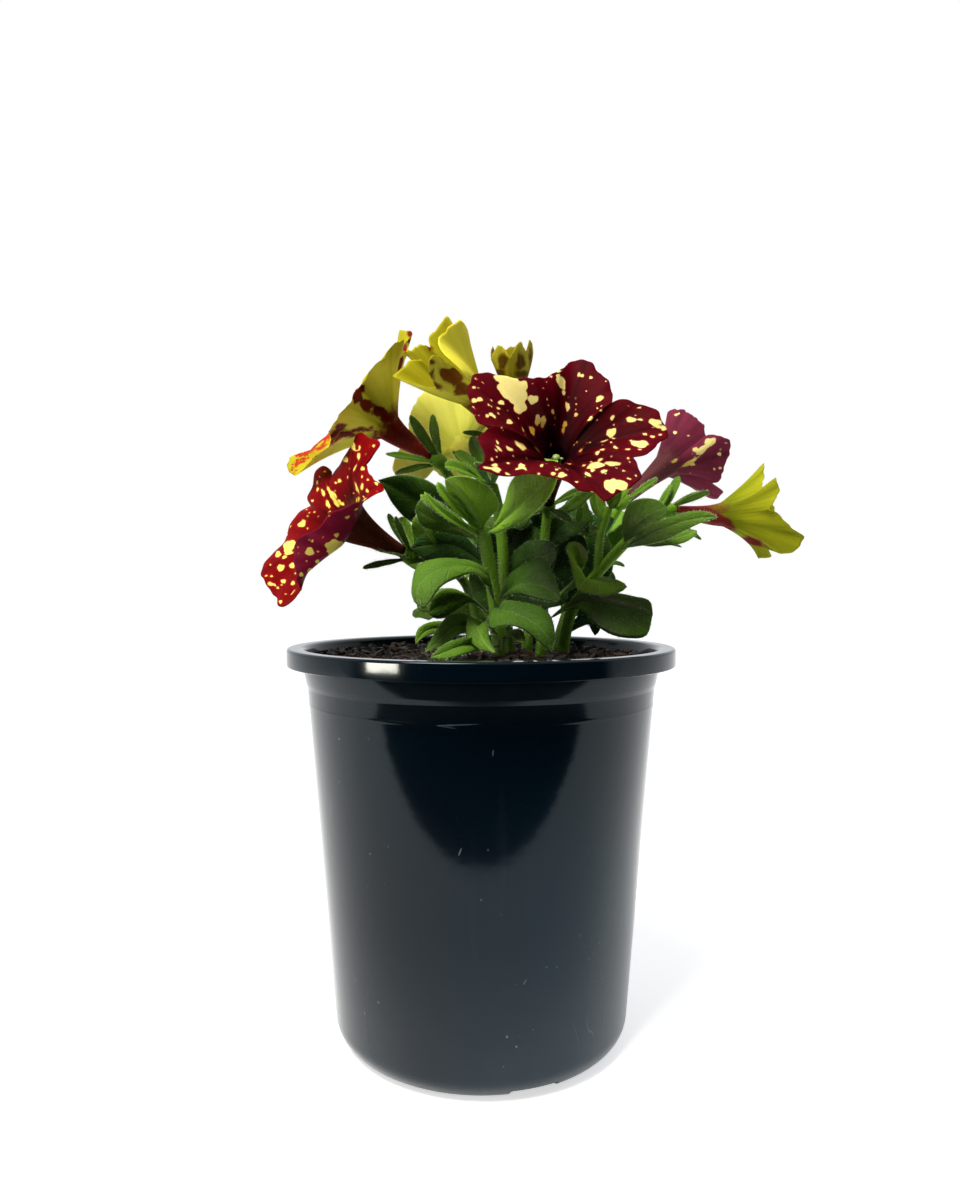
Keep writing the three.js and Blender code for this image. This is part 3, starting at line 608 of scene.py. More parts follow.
def readSurface(leaf, t, v):
    # middle surface of a leaf whose midrib and margins are read point by point
    curves = {}
    tip = leaf["mid"][-1]
    for key in ("mid", "left", "right"):
        line = [fromPhoto(*spot) for spot in leaf[key]] + ([] if key == "mid" else [fromPhoto(*tip)])
        curves[key] = [leaf["base"]] + line
    t, v = np.broadcast_arrays(np.asarray(t, float), np.asarray(v, float))
    middle = curveLine(curves["mid"], t)
    left, right = curveLine(curves["left"], t), curveLine(curves["right"], t)
    small = 0.01
    further, nearer = np.minimum(t + small, 1), np.maximum(t - small, 0)
    ahead = unit(curveLine(curves["mid"], further) - curveLine(curves["mid"], nearer))
    spread = right - left + 1e-6 * np.cross(ahead, [0.3, -1, 0.2])
    up = unit(np.cross(unit(spread), ahead))
    half = np.linalg.norm(spread, axis=-1) / 2
    stalk = np.cross(ahead, up) * -leafShape["stalkHalf"] * ((1 - t) ** 2)[..., None]
    edge = np.where((v > 0)[..., None], right + stalk, left - stalk) - middle
    r = np.abs(v)
    chance = leaf["chance"]
    bulge = leaf.get("bulge", 0.8) * np.sin(t * math.pi) * 4 * r * (1 - r) * np.minimum(1, half / 5)
    wave = np.sin(t * (15 + 8 * chance) + np.where(v > 0, 0, 2.4) + 9 * chance) * np.sin(t * math.pi)
    height = bulge + bladeRelief(leaf, t, v, half, np.minimum(1, half / 8), wave)
    return middle + edge * r[..., None] + up * height[..., None], half


def leafSurface(leaf, t, v):
    # middle surface of a leaf, t from base to tip and v from margin to margin
    if "mid" in leaf:
        return readSurface(leaf, t, v)
    base, via, tip = [np.array(leaf[key], float) for key in ("base", "via", "tip")]
    control = 2 * via - (base + tip) / 2
    t = np.asarray(t)[..., None]
    v = np.asarray(v)[..., None]
    spot = (1 - t) ** 2 * base + 2 * t * (1 - t) * control + t ** 2 * tip
    ahead = unit(2 * (1 - t) * (control - base) + 2 * t * (tip - control))
    side = unit(np.cross(ahead, unit(leaf["face"])))
    up = unit(np.cross(side, ahead))
    widest = leaf["width"] / 2
    stalkHalf = min(leafShape["stalkWidth"], leaf["width"] / 2) / 2
    half = np.maximum(np.maximum(stalkHalf * (1 - t), leafShape["least"] * (1 - t ** 6)),
                      widest * leafOutline(t))
    ease = np.minimum(1, half / widest + 0.2)
    fold = math.radians(leaf["fold"]) * ease
    roll = math.radians(leafShape["roll"]) * ease * min(1, widest / 6)
    r = np.abs(v)
    soft = np.sqrt(v * v + 0.03) - math.sqrt(0.03)
    bend = np.sinc(roll * r / 2 / math.pi)
    outward = half * r * np.cos(fold + roll * r / 2) * bend * np.sign(v)
    rise = half * soft * np.sin(fold + roll * r / 2) * bend
    chance = leaf["chance"]
    wave = np.sin(t * (13 + 7 * chance) + np.where(v > 0, 0, 2.4) + 9 * chance)
    height = rise + bladeRelief(leaf, t, v, half, min(1, widest / 8), wave)
    return spot + side * outward + up * height, half[..., 0]


def leafPiece(name, leaf, rng):
    # a closed blade, and its hairs as roots, ways and lengths
    across, rows = leafShape["smallGrid" if leaf["width"] < leafShape["smallWidth"] else "grid"]
    leaf.setdefault("chance", rng.random())
    t = (1 - (1 - np.linspace(0, 1, rows + 1)) ** 1.15)[:, None]
    v = np.linspace(-1, 1, across + 1)[None]
    t, v = np.broadcast_arrays(t, np.sign(v) * np.abs(v) ** 0.85)

    def surfaceAt(t, v):
        return leafSurface(leaf, t, v)[0]

    step = leafShape["probe"]
    middle, half = leafSurface(leaf, t, v)
    alongWay = surfaceAt(np.minimum(t + step, 1), v) - surfaceAt(np.maximum(t - step, 0), v)
    sideWay = surfaceAt(t, v + step) - surfaceAt(t, v - step)
    normal = unit(np.cross(sideWay, alongWay))
    thick = leafShape["thickness"] / 2 * np.sqrt(np.maximum(0, 1 - np.abs(v) ** 5))[..., None]
    top, bottom = middle + normal * thick, middle - normal * thick
    ring = np.concatenate([top, bottom[:, -2:0:-1]], axis=1)
    ring[0] = middle[0].mean(axis=0)
    ring[-1] = middle[-1].mean(axis=0)
    attributes = {
        "across": np.concatenate([v, v[:, -2:0:-1]], axis=1),
        "along": t[:, :1],
        "halfWidth": half[:, :1],
        # a given tone is painted light and shade; without one a leaf gets a random tone
        "tone": leaf.get("tone", 0.35 + 0.4 * rng.random()),
        "upper": np.concatenate([np.ones_like(v), np.zeros_like(v[:, -2:0:-1])], axis=1),
        "isLeaf": 1 if leaf["width"] > 6 else 0.4,
    }
    piece = shapedTube(name, ring.shape[1], rows, ring, attributes)
    hairs = []
    length = np.linalg.norm(np.diff(middle[:, across // 2], axis=0), axis=1).sum()
    for edge, sign in ((0, -1), (-1, 1)):
        for _ in range(int(length * leafShape["marginHairs"] * leaf.get("fuzz", 1))):
            s = rng.random() * (rows - 1)
            i, w = int(s), s % 1
            root = middle[i, edge] * (1 - w) + middle[i + 1, edge] * w
            outward = unit(sideWay[i, edge]) * sign
            way = outward + normal[i, edge] * rng.normal(0, 0.45)
            way = way + unit(alongWay[i, edge]) * rng.normal(0.15, 0.35)
            hairs.append((root, way, rng.uniform(0.4, 1.1)))
    area = length * leaf["width"] * 0.7
    for _ in range(int(area * leafShape["faceHairs"] * leaf.get("fuzz", 1))):
        i, j = rng.integers(1, rows), rng.integers(1, across)
        sign = 1 if rng.random() < 0.6 else -1
        w = rng.random(2)
        here = middle[i, j]
        root = here + (middle[i, j - 1] - here) * w[0] + (middle[i - 1, j] - here) * w[1]
        root = root + normal[i, j] * sign * leafShape["thickness"] / 2
        way = normal[i, j] * sign + unit(alongWay[i, j]) * 0.5 + rng.normal(0, 0.3, 3)
        hairs.append((root, way, rng.uniform(0.3, 0.7)))
    return piece, hairs


def leaf(at, via, tip, width, face, fold, **more):
    return {"at": at, "via": via, "tip": tip, "width": width, "face": face, "fold": fold, **more}


def readLeaf(at, width, mid, left, right, **more):
    # a leaf seen well: midrib and margins as pixels of the photo, each with its y in mm
    return {"at": at, "width": width, "mid": mid, "left": left, "right": right, **more}


# the stems and leaves of the frame again, in mm: a leaf stands at its share of the stem's length, and one
# that is only estimated has a point it passes, a tip, a width, the way it faces and a fold in degrees
# a tone given to a leaf or a stem is painted light and shade: low where it sits in shade inside the plant,
# high where it is well lit
shoots = [
    {
        "name": "leafy_stem_front", "radius": 2.5, "tone": 0.72,
        "path": [[8, -8, 128], [6, -11, 148], [4, -14, 162], [2, -17, 174], [0.5, -19, 182]],
        "leaves": [
            readLeaf(0.95, 18, tone=1, bulge=1.2,
                mid=[(505, 520, -27), (530, 498, -31), (549, 478, -33), (558, 460, -33)],
                left=[(496, 521, -24), (504, 500, -27), (512, 480, -29), (532, 460, -31)],
                right=[(502, 533, -27), (528, 518, -33), (546, 503, -35), (557, 480, -34)]),
            readLeaf(0.98, 14, tone=0.85, bulge=-1.6,
                mid=[(478, 520, -24), (470, 504, -28), (457, 488, -31), (445, 479, -32)],
                left=[(466, 514, -23), (455, 500, -25), (446, 488, -29)],
                right=[(490, 519, -21), (500, 506, -22), (494, 491, -25), (474, 478, -28), (456, 476, -31)]),
            leaf(0.97, [-9, -25, 189], [-14.8, -28, 196.8], 4.6, [-0.3, -0.7, 0.5], 38, tone=0.95),
            leaf(0.95, [-12, -24, 186], [-20.6, -26, 192.8], 3.8, [-0.3, -0.7, 0.5], 34, tone=0.8),
            leaf(0.94, [-11, -25, 185], [-19.2, -27, 193.6], 3.4, [-0.3, -0.7, 0.5], 34, tone=0.75),
            readLeaf(0.9, 17, tone=0.3, bulge=0.8,
                mid=[(448, 524, -15), (430, 518, -17), (415, 508, -18)],
                left=[(455, 535, -12), (436, 531, -13), (421, 525, -15)],
                right=[(455, 512, -17), (436, 500, -19), (422, 498, -19)]),
            readLeaf(0.5, 20, tone=0.3, bulge=1.4, ripple=1.6,
                mid=[(479, 573, -30), (455, 567, -35), (430, 575, -39), (417, 590, -42), (424, 609, -44)],
                left=[(487, 584, -31), (474, 576, -37), (456, 577, -41), (440, 589, -44), (429, 603, -45)],
                right=[(484, 568, -25), (462, 560, -27), (438, 559, -29), (417, 568, -33), (411, 588, -38),
                       (415, 603, -42)]),
            readLeaf(0.38, 12, tone=0.42,
                mid=[(470, 598, -19), (448, 600, -23), (428, 613, -28)],
                left=[(470, 603, -17), (458, 610, -20), (445, 618, -24), (434, 618, -27)],
                right=[(464, 592, -20), (446, 588, -24), (431, 598, -27)]),
            readLeaf(0.5, 20, tone=0.14, bulge=0.9,
                mid=[(520, 585, -26), (545, 588, -31), (561, 600, -35)],
                left=[(509, 575, -21), (526, 561, -22), (543, 557, -25), (552, 571, -29), (559, 590, -33)],
                right=[(520, 595, -29), (545, 601, -34)]),
            readLeaf(0.42, 20, tone=0.16, bulge=1.2, ripple=2,
                mid=[(504, 611, -34), (528, 620, -40), (545, 634, -42), (551, 654, -42)],
                left=[(510, 599, -28), (533, 606, -32), (550, 613, -36), (555, 632, -40)],
                right=[(489, 612, -32), (488, 627, -38), (505, 627, -43), (524, 631, -44), (540, 643, -44)]),
            readLeaf(0.3, 9, tone=0.4, bulge=0.8,
                mid=[(478, 628, -33), (484, 642, -37), (496, 654, -39)],
                left=[(489, 622, -30), (490, 640, -35)],
                right=[(468, 619, -30), (466, 635, -34), (476, 648, -37)]),
            readLeaf(0.28, 10, tone=0.48,
                mid=[(432, 629, -24), (421, 636, -28), (415, 645, -30)],
                left=[(438, 634, -24), (425, 637, -28)],
                right=[(446, 621, -20), (429, 622, -24), (417, 630, -28)]),
            readLeaf(0.22, 11, tone=0.34,
                mid=[(462, 646, -39), (446, 652, -43), (430, 658, -47)],
                left=[(466, 654, -42), (446, 659, -46)],
                right=[(468, 637, -37), (450, 641, -41), (438, 649, -44)]),
            readLeaf(0.32, 11, tone=0.34, bulge=0.6,
                mid=[(455, 628, -30), (438, 642, -34), (424, 653, -36)],
                left=[(462, 634, -32), (442, 646, -36)],
                right=[(463, 613, -26), (447, 616, -28), (437, 629, -31)]),
            leaf(0.2, [10, -30, 146], [13.5, -42, 143.5], 5, [0, -0.9, 0.4], 20, tone=0.7),
        ],
    },
    {
        "name": "leafy_stem_centre", "radius": 2.1, "tone": 0.5,
        "path": [[12, 0, 128], [9, -4, 150], [8, -7, 172], [6, -7, 190], [4, -8, 198]],
        "leaves": [
            leaf(1, [-7, -11, 203], [-13, -12, 204], 5.5, [0, -0.8, 0.5], 35, tone=0.6),
            leaf(0.98, [-4, -9, 205], [-9, -8, 210], 5.5, [0, -0.8, 0.5], 35, tone=0.6),
            leaf(1, [0, -14, 201], [-1, -18, 205], 5, [0.1, -0.3, 0.9], 35, tone=0.6),
            leaf(1, [6, -14, 201], [8, -18, 204], 5, [-0.2, -0.3, 0.9], 35, tone=0.7),
            leaf(0.95, [1, -5, 207], [-4, -3, 216], 7, [-0.3, -0.8, 0.2], 20, tone=0.5),
            # painted shade: the leaves from here on are near-black and turned to face forward, to fill the
            # gaps between the stems where only shade shows
            leaf(0.6, [15, -2, 173], [19, 2, 184], 14, [-0.2, -0.9, 0.3], 10, tone=0.08),
            leaf(0.8, [12, 1, 187], [14, 6, 197], 13, [-0.2, -0.9, 0.3], 10, tone=0.12),
            leaf(0.35, [4, -4, 158], [-3, -2, 168], 13, [0.2, -0.9, 0.3], 8, tone=0.05),
            readLeaf(0.52, 20, tone=0.02,
                mid=[(455, 546, -9), (430, 545, -11), (409, 549, -11)],
                left=[(458, 564, -8), (432, 563, -10)],
                right=[(456, 529, -9), (428, 529, -11)]),
            leaf(0.5, [17, -8, 170], [27, -12, 174], 15, [0, -0.9, 0.3], 8, tone=0.04),
            leaf(0.42, [20, -6, 160], [30, -10, 156], 14, [0, -0.9, 0.3], 8, tone=0.06),
        ],
    },
    {
        "name": "leafy_stem_bloom_front", "radius": 1.8, "bloom": "bloom_front", "tone": 0.66,
        "path": [[21, -3, 128], [22.5, -4, 150], [22.5, -6, 171]],
        "leaves": [
            leaf(0.93, [32, -14, 190], [40, -15, 197], 5, [-0.1, -0.8, 0.5], 15, tone=0.35),
            # painted shade: the next three leaves are near-black and face forward, filling the gaps behind
            # the stems
            leaf(0.75, [31, -4, 185], [40, -1, 189], 13, [-0.1, -0.8, 0.5], 10, tone=0.1),
            leaf(0.55, [30, -2, 171], [36, 1, 181], 15, [-0.3, -0.9, 0.3], 10, tone=0.04),
            leaf(0.5, [15, 2, 175], [10, 4, 188], 15, [0.2, -0.9, 0.3], 10, tone=0.04),
            readLeaf(0.33, 22, tone=0.2, bulge=1.4,
                mid=[(590, 601, -20), (620, 605, -26), (653, 614, -31)],
                left=[(585, 592, -17), (610, 593, -21), (636, 596, -26), (650, 601, -29)],
                right=[(580, 610, -21), (592, 623, -26), (608, 633, -31), (629, 639, -34), (646, 636, -34)]),
            readLeaf(0.42, 16, tone=1, bulge=0.5,
                mid=[(586, 578, -24), (577, 590, -28)],
                left=[(605, 577, -25), (627, 587, -32), (612, 596, -32), (594, 595, -30)],
                right=[(587, 558, -21), (577, 541, -17), (568, 543, -18), (571, 566, -23)]),
        ],
    },
    {
        "name": "leafy_stem_right", "radius": 2, "bloom": "bloom_right", "tone": 0.66,
        "path": [[29, 3, 128], [33, 2, 151], [39, -2, 162], [47, -6, 172], [57, -6, 182]],
        "branches": [{"from": 0.55, "path": [[43, -6, 180], [46, -7, 190]], "radius": 1.5}],
        "leaves": [
            readLeaf(0.72, 15, tone=0.36, bulge=-0.8,
                mid=[(636, 523, -15), (652, 513, -17), (667, 507, -19)],
                left=[(622, 516, -13), (629, 503, -14), (644, 498, -15), (658, 500, -17)],
                right=[(642, 533, -16), (659, 521, -19), (668, 513, -20)]),
            leaf(0.86, [67, -10, 193], [70, -10, 201], 5.5, [-0.7, -0.6, 0.3], 30, tone=0.4),
            leaf(0.82, [64, -11, 191], [67, -11, 198], 3.4, [-0.7, -0.6, 0.3], 30, tone=0.6),
            readLeaf(0.68, 12, tone=0.42, bulge=0.5,
                mid=[(660, 530, -20), (690, 520, -23), (719, 517, -25)],
                left=[(650, 524, -18), (670, 517, -20), (687, 512, -22), (704, 511, -24)],
                right=[(665, 541, -21), (686, 530, -24), (706, 521, -25)]),
            leaf(0.74, [66, -13, 178], [76, -13, 181.5], 6.5, [-0.1, -0.7, 0.7], 12, tone=0.45),
            leaf(0.7, [63, 0, 178], [74, 0, 176], 2.2, [0, -0.6, 0.8], 10),
            leaf(0.5, [48, 6, 170], [54, 7, 169], 3, [0, -0.6, 0.8], 10, tone=0.15),
            leaf(0.9, [42, -6, 190], [41, -5, 199], 7, [0.4, -0.9, 0.1], 25, branch=0, tone=0.5),
            leaf(1, [47, -10, 193], [48, -12, 200], 6, [-0.3, -0.9, 0.1], 25, branch=0, tone=0.6),
            leaf(1, [50, -5, 194], [55, -4, 200], 5, [-0.6, -0.7, 0.2], 25, branch=0, tone=0.6),
            leaf(0.7, [38, -4, 183], [37, -4, 194], 7, [0.2, -0.9, 0.2], 20, branch=0, tone=0.2),
            # painted shade: the next two leaves are near-black and face forward, filling the gaps behind the
            # stems
            leaf(0.3, [36, 6, 158], [38, 8, 170], 14, [0.1, -0.9, 0.2], 10, tone=0.03),
            leaf(0.2, [41, 8, 150], [43, 8, 143], 6, [0, -0.9, 0.2], 10, tone=0.05),
        ],
    },
    {
        "name": "leafy_stem_left_low", "radius": 1.8, "bloom": "bloom_lower_left",
        "path": [[2, 3, 128], [-2, 4, 150], [-6, 2, 163], [-13, -3, 169]],
        "leaves": [
            leaf(0.6, [-12, 8, 175], [-24, 10, 180], 17, [0.1, -0.8, 0.5], -10),
            leaf(0.93, [-27, -4, 181], [-28, -4, 187], 7, [-0.5, -0.8, 0.2], 20),
            leaf(0.88, [-20, -11, 180], [-21, -13, 188], 9, [-0.3, -0.9, 0.2], 20),
            leaf(0.4, [-14, 6, 158], [-24, 8, 153], 15, [-0.2, -0.6, 0.8], -8),
        ],
    },
    {
        "name": "leafy_stem_left_high", "radius": 1.9, "bloom": "bloom_upper_left",
        "path": [[7, 12, 128], [4, 16, 156], [0, 18, 176], [-6, 14, 193]],
        "leaves": [
            readLeaf(0.62, 22, tone=0.1, bulge=1.2,
                mid=[(422, 504, -2), (398, 489, -8), (378, 480, -12)],
                left=[(425, 528, 0), (407, 520, -3), (392, 503, -8), (385, 490, -11)],
                right=[(437, 486, -1), (419, 477, -5), (398, 475, -10)]),
            leaf(0.45, [-18, 27, 172], [-32, 34, 176], 18, [-0.2, -0.4, 0.85], 8),
            # painted shade: the next leaf is near-black and faces forward, filling the gaps behind the stems
            leaf(0.5, [5, 12, 172], [9, 9, 186], 17, [0.1, -0.9, 0.3], 8, tone=0.03),
            leaf(0.25, [-14, 26, 155], [-28, 32, 150], 17, [-0.2, -0.4, 0.85], -8),
        ],
    },
    {
        "name": "leafy_stem_back", "radius": 1.9, "bloom": "bud_small",
        "path": [[17, 12, 128], [19, 18, 160], [19, 23, 184], [17, 25, 207]],
        "branches": [{"from": 0.72, "path": [], "radius": 1.4, "bloom": "bud_top"}],
        "leaves": [
            leaf(0.25, [23, 34, 158], [29, 51, 158], 20, [0, -0.2, 1], 8),
            leaf(0.45, [31, 32, 185], [43, 41, 192], 18, [-0.1, -0.7, 0.7], 10),
            leaf(0.5, [9, 36, 186], [1, 49, 190], 17, [0, -0.5, 0.85], 10),
            leaf(0.36, [10, 26, 168], [4, 36, 173], 14, [0, -0.8, 0.6], 8),
            leaf(0.68, [27, 30, 203], [35, 34, 212], 9, [-0.4, -0.6, 0.6], 20),
            # painted shade: the next two leaves are near-black and face forward, filling the gaps behind the
            # stems
            leaf(0.38, [28, 22, 175], [37, 22, 185], 15, [0, -0.95, 0.2], 8, tone=0.05),
            leaf(0.6, [20, 14, 187], [20, 9, 197], 16, [0, -0.95, 0.2], 8, tone=0.04),
        ],
    },
    {
        "name": "leafy_stem_back_right", "radius": 1.8, "bloom": "bloom_right_back",
        "path": [[26, 14, 128], [33, 20, 150], [41, 22, 170]],
        "leaves": [
            leaf(0.62, [49, 31, 178], [60, 40, 189], 17, [-0.1, -0.6, 0.8], 8),
            leaf(0.3, [44, 36, 158], [54, 53, 156], 21, [0.1, -0.3, 0.95], 8),
            leaf(0.6, [34, 27, 168], [28, 33, 168], 12, [0.1, -0.9, 0.3], 8),
            leaf(0.8, [53, 34, 188], [57, 46, 193], 12, [-0.2, -0.5, 0.85], 12),
            # painted shade: the next three leaves are near-black and face forward, filling the gaps behind
            # the stems
            leaf(0.33, [43, 18, 160], [51, 16, 167], 14, [0, -0.95, 0.2], 8, tone=0.05),
            leaf(0.55, [42, 10, 168], [44, 8, 184], 15, [0, -0.95, 0.2], 8, tone=0.04),
            leaf(0.95, [39, 14, 184], [36, 10, 196], 15, [0, -0.95, 0.2], 8, tone=0.05),
        ],
    },
    {
        "name": "leafy_stem_back_left", "radius": 1.8, "bloom": "bloom_back",
        "path": [[1, 20, 128], [0, 27, 152], [-1, 29, 175]],
        "leaves": [
            leaf(0.2, [-6, 42, 152], [-13, 58, 149], 20, [0, 0.2, 0.95], 8),
            leaf(0.5, [-13, 42, 175], [-28, 50, 178], 19, [0, -0.4, 0.9], 8),
            leaf(0.42, [9, 44, 166], [17, 58, 165], 19, [0.1, 0.1, 1], 10),
            leaf(0.66, [-3, 45, 180], [-4, 56, 186], 13, [0, -0.2, 1], 14),
        ],
    },
]


# blooms

bloomShape = {
    "lobeColumns": 44,
    "tubeRows": 14,
    "limbRows": 40,
    "leastPatch": 0.4,
    "patchDepth": 5,
    "farFromPatch": 3,
    "neckRadius": 1.9,
    "thickness": 0.5,
    "headRadius": 2.7,
    "clearance": 0.3,
    "widening": 1.4,        # a higher one keeps the tube narrow for longer
    "tubeRibs": 0.05,
    "pleat": 0.5,
    "frill": 0.008,
    "ruffleWaves": (7, 16),     # slow and quick ones round the mouth
    "quickRuffle": 0.45,
    "frillWaves": (23, 41),
    "quickFrill": 0.7,
    "foldNarrowness": (4, 3.2),         # at the notches and at the lobes' middles
    "ribWidths": (0.9, 0.8),            # mm, at the lobes' middles and at the notches
    "notchRib": 0.6,
    "fanRays": 3.5,
    "fanLean": 1.2,
    "patchWaves": ((3, 0.11, 1), (5, 0.07, 2)),     # how many round a patch, their height and turn
    "strewnSize": (0.35, 2.2),
    "strewnStretch": (1.1, 2.4),
    "tubeHairs": 160,
}


def bloomFrame(bloom):
    facing = unit(bloom["facing"])
    right = unit(np.cross(bloom["top"], facing))
    return facing, right, unit(np.cross(facing, right)), np.array(bloom["throat"], float)


def rimPlace(bloom, facing, throat, px, py, y=None):
    # a point of the margin in mm: at y, or as far ahead of the throat as this bloom's margin stands
    if y is not None:
        return fromPhoto(px, py, y)
    near, far = fromPhoto(px, py, -100), fromPhoto(px, py, 0)
    return near + (far - near) * ((bloom["ahead"] - facing @ (near - throat)) / (facing @ (far - near)))


def tubeLine(bloom, facing, s):
    neck, throat = np.array(bloom["neck"], float), np.array(bloom["throat"], float)
    reach = np.linalg.norm(throat - neck) / 3
    start = unit(throat - neck)
    a, b, c, d = neck, neck + start * reach, throat - facing * reach, throat
    s = np.asarray(s, float)[..., None]
    spot = (1 - s) ** 3 * a + 3 * s * (1 - s) ** 2 * b + 3 * s * s * (1 - s) * c + s ** 3 * d
    ahead = unit((1 - s) ** 2 * (b - a) + 2 * s * (1 - s) * (c - b) + s * s * (d - c))
    return spot, ahead


def marginOf(bloom, columns):
    # places of the margin, their angle and reach about the throat, and how far off a lobe's middle they are
    facing, right, up, throat = bloomFrame(bloom)
    lobes = []
    for lobe, after in zip(bloom["rim"], bloom["rim"][1:] + bloom["rim"][:1]):
        lobes.append([rimPlace(bloom, facing, throat, *spot) for spot in lobe + after[:1]])
    notches = np.array([lobe[0] for lobe in lobes]) - throat
    angles = np.unwrap(np.arctan2(notches @ up, notches @ right))
    order = 1 if angles[-1] > angles[0] else -1
    if order < 0:
        lobes, angles = [lobe[::-1] for lobe in lobes[::-1]], np.roll(angles[::-1], 1)
        angles = np.unwrap(angles)
    ends = np.append(angles, angles[0] + 2 * math.pi)
    share = np.arange(columns) / columns
    places = np.concatenate([smoothPath(lobe, columns + 1)[:-1] for lobe in lobes])
    arms = places - throat
    turned = np.arange(len(places)) / columns
    middles = np.arange(-1, len(lobes) + 1) + 0.5

    def perLobe(value):
        # one value for the whole bloom or one for each lobe, passing smoothly from lobe to lobe
        values = list(value)[::order] if isinstance(value, list) else [value] * len(lobes)
        return np.interp(turned, middles, values[-1:] + values + values[:1])

    return {
        "flare": perLobe(bloom["flare"]),
        "rise": perLobe(bloom["rise"]),
        "angle": np.concatenate([ends[k] + (ends[k + 1] - ends[k]) * share for k in range(len(lobes))]),
        "off": np.tile(np.abs(2 * share - 1), len(lobes)),
        "reach": np.hypot(arms @ right, arms @ up),
        "place": places,
    }


def corollaGrid(bloom, margin):
    # middle surface: rows from the neck to the margin, columns round the mouth
    facing, right, up, throat = bloomFrame(bloom)
    angle = margin["angle"][None]
    s = np.linspace(0, 1, bloomShape["tubeRows"] + 1)
    spot, ahead = tubeLine(bloom, facing, s)
    upHere = unit(up - (ahead @ up)[:, None] * ahead)
    rightHere = np.cross(upHere, ahead)
    narrow = bloomShape["neckRadius"]
    radius = narrow + (bloom["throatRadius"] - narrow) * s ** bloomShape["widening"]
    radius = radius[:, None] * (1 + bloomShape["tubeRibs"] * np.cos(angle * 5) * s[:, None])
    tube = spot[:, None] + radius[..., None] * (
        np.cos(angle)[..., None] * rightHere[:, None] + np.sin(angle)[..., None] * upHere[:, None])
    limbRows = bloomShape["limbRows"] + bloom.get("finer", 0) // 2
    t = (np.arange(1, limbRows + 1) / limbRows)[:, None]
    off = margin["off"][None]
    phase = bloom["rufflePhase"]
    slow, quick = bloomShape["ruffleWaves"]
    ruffle = t * t * np.sin(angle * slow + phase)
    ruffle = ruffle + bloomShape["quickRuffle"] * t ** 3 * np.sin(angle * quick + 2 * phase)
    atNotch, atMiddle = bloomShape["foldNarrowness"]
    folds = np.exp(-((1 - off) * atNotch) ** 2) - np.exp(-(off * atMiddle) ** 2)
    lift = bloom["ruffle"] * ruffle + bloomShape["pleat"] * folds * np.sin(t * math.pi)
    radial = np.cos(angle)[..., None] * right + np.sin(angle)[..., None] * up
    knee = bloom["throatRadius"] + (margin["reach"] - bloom["throatRadius"]) * margin["flare"]
    slow, quick = bloomShape["frillWaves"]
    wobble = np.sin(angle * slow + 1) * t ** 6 + bloomShape["quickFrill"] * np.sin(angle * quick) * t ** 8
    wobble = 1 + bloomShape["frill"] * wobble
    edge = throat + (margin["place"][None] - throat) * wobble[..., None]
    t = t[..., None]
    mouth = throat + bloom["throatRadius"] * radial
    bend = throat + knee[:, None] * radial + margin["rise"][:, None] * facing
    limb = (1 - t) ** 2 * mouth + 2 * t * (1 - t) * bend + t * t * edge
    return np.concatenate([tube, limb + lift[..., None] * facing])


def layPatches(patches, grid, normal):
    # lays each patch read in the photo on the petal that shows there: its middle, half axes and side
    x, y, depth = photoPlaces(grid)
    index = np.arange(x.size).reshape(x.shape)
    beside = np.roll(index, -1, axis=1)
    a = np.concatenate([index[:-1].ravel(), beside[1:].ravel()])
    b = np.concatenate([index[1:].ravel(), beside[:-1].ravel()])
    c = np.concatenate([beside[:-1].ravel(), index[1:].ravel()])
    flat = np.stack([x.ravel(), y.ravel()], axis=1)
    spots, ways, far = grid.reshape(-1, 3), normal.reshape(-1, 3), depth.ravel()
    e, f = flat[b] - flat[a], flat[c] - flat[a]
    area = e[:, 0] * f[:, 1] - e[:, 1] * f[:, 0]
    area = np.where(np.abs(area) < 1e-9, 1e-9, area)
    laid = []
    for px, py, length, width, tilt in patches:
        w = np.array([px, py]) - flat[a]
        u = (w[:, 0] * f[:, 1] - w[:, 1] * f[:, 0]) / area
        v = (e[:, 0] * w[:, 1] - e[:, 1] * w[:, 0]) / area
        within = np.nonzero((u >= 0) & (v >= 0) & (u + v <= 1))[0]
        if len(within):
            k = within[np.argmin(far[a[within]])]
            middle = spots[a[k]] + (spots[b[k]] - spots[a[k]]) * u[k] + (spots[c[k]] - spots[a[k]]) * v[k]
        else:
            k = np.argmin(np.hypot(w[:, 0], w[:, 1]))
            middle = spots[a[k]]
        laid.append({
            "middle": middle, "across": ways[a[k]], "phase": px + py,
            "seen": (px, py, length / 2, width / 2, math.radians(tilt), far[a[k]] / studio["focalPixels"]),
            "outside": ways[a[k]] @ (middle - np.array(studio["cameraPlace"])) < 0,
        })
    return laid


def strewPatches(count, grid, normal, rng):
    # patches of mixed sizes on the sides that the photo doesn't show
    laid = []
    while len(laid) < count:
        i = rng.integers(bloomShape["tubeRows"] + 4, len(grid) - 1)
        j = rng.integers(0, grid.shape[1])
        outside = rng.random() < 0.5
        facing = normal[i, j] @ (grid[i, j] - np.array(studio["cameraPlace"]))
        if (facing < 0) == outside:
            continue
        least, more = bloomShape["strewnSize"]
        size = least + more * rng.random() ** 4
        ahead = unit(grid[i + 1, j] - grid[i - 1, j])
        laid.append({
            "middle": grid[i, j], "across": normal[i, j],
            "long": ahead * size * rng.uniform(*bloomShape["strewnStretch"]),
            "short": np.cross(normal[i, j], ahead) * size, "outside": outside, "phase": rng.uniform(0, 9),
        })
    return laid


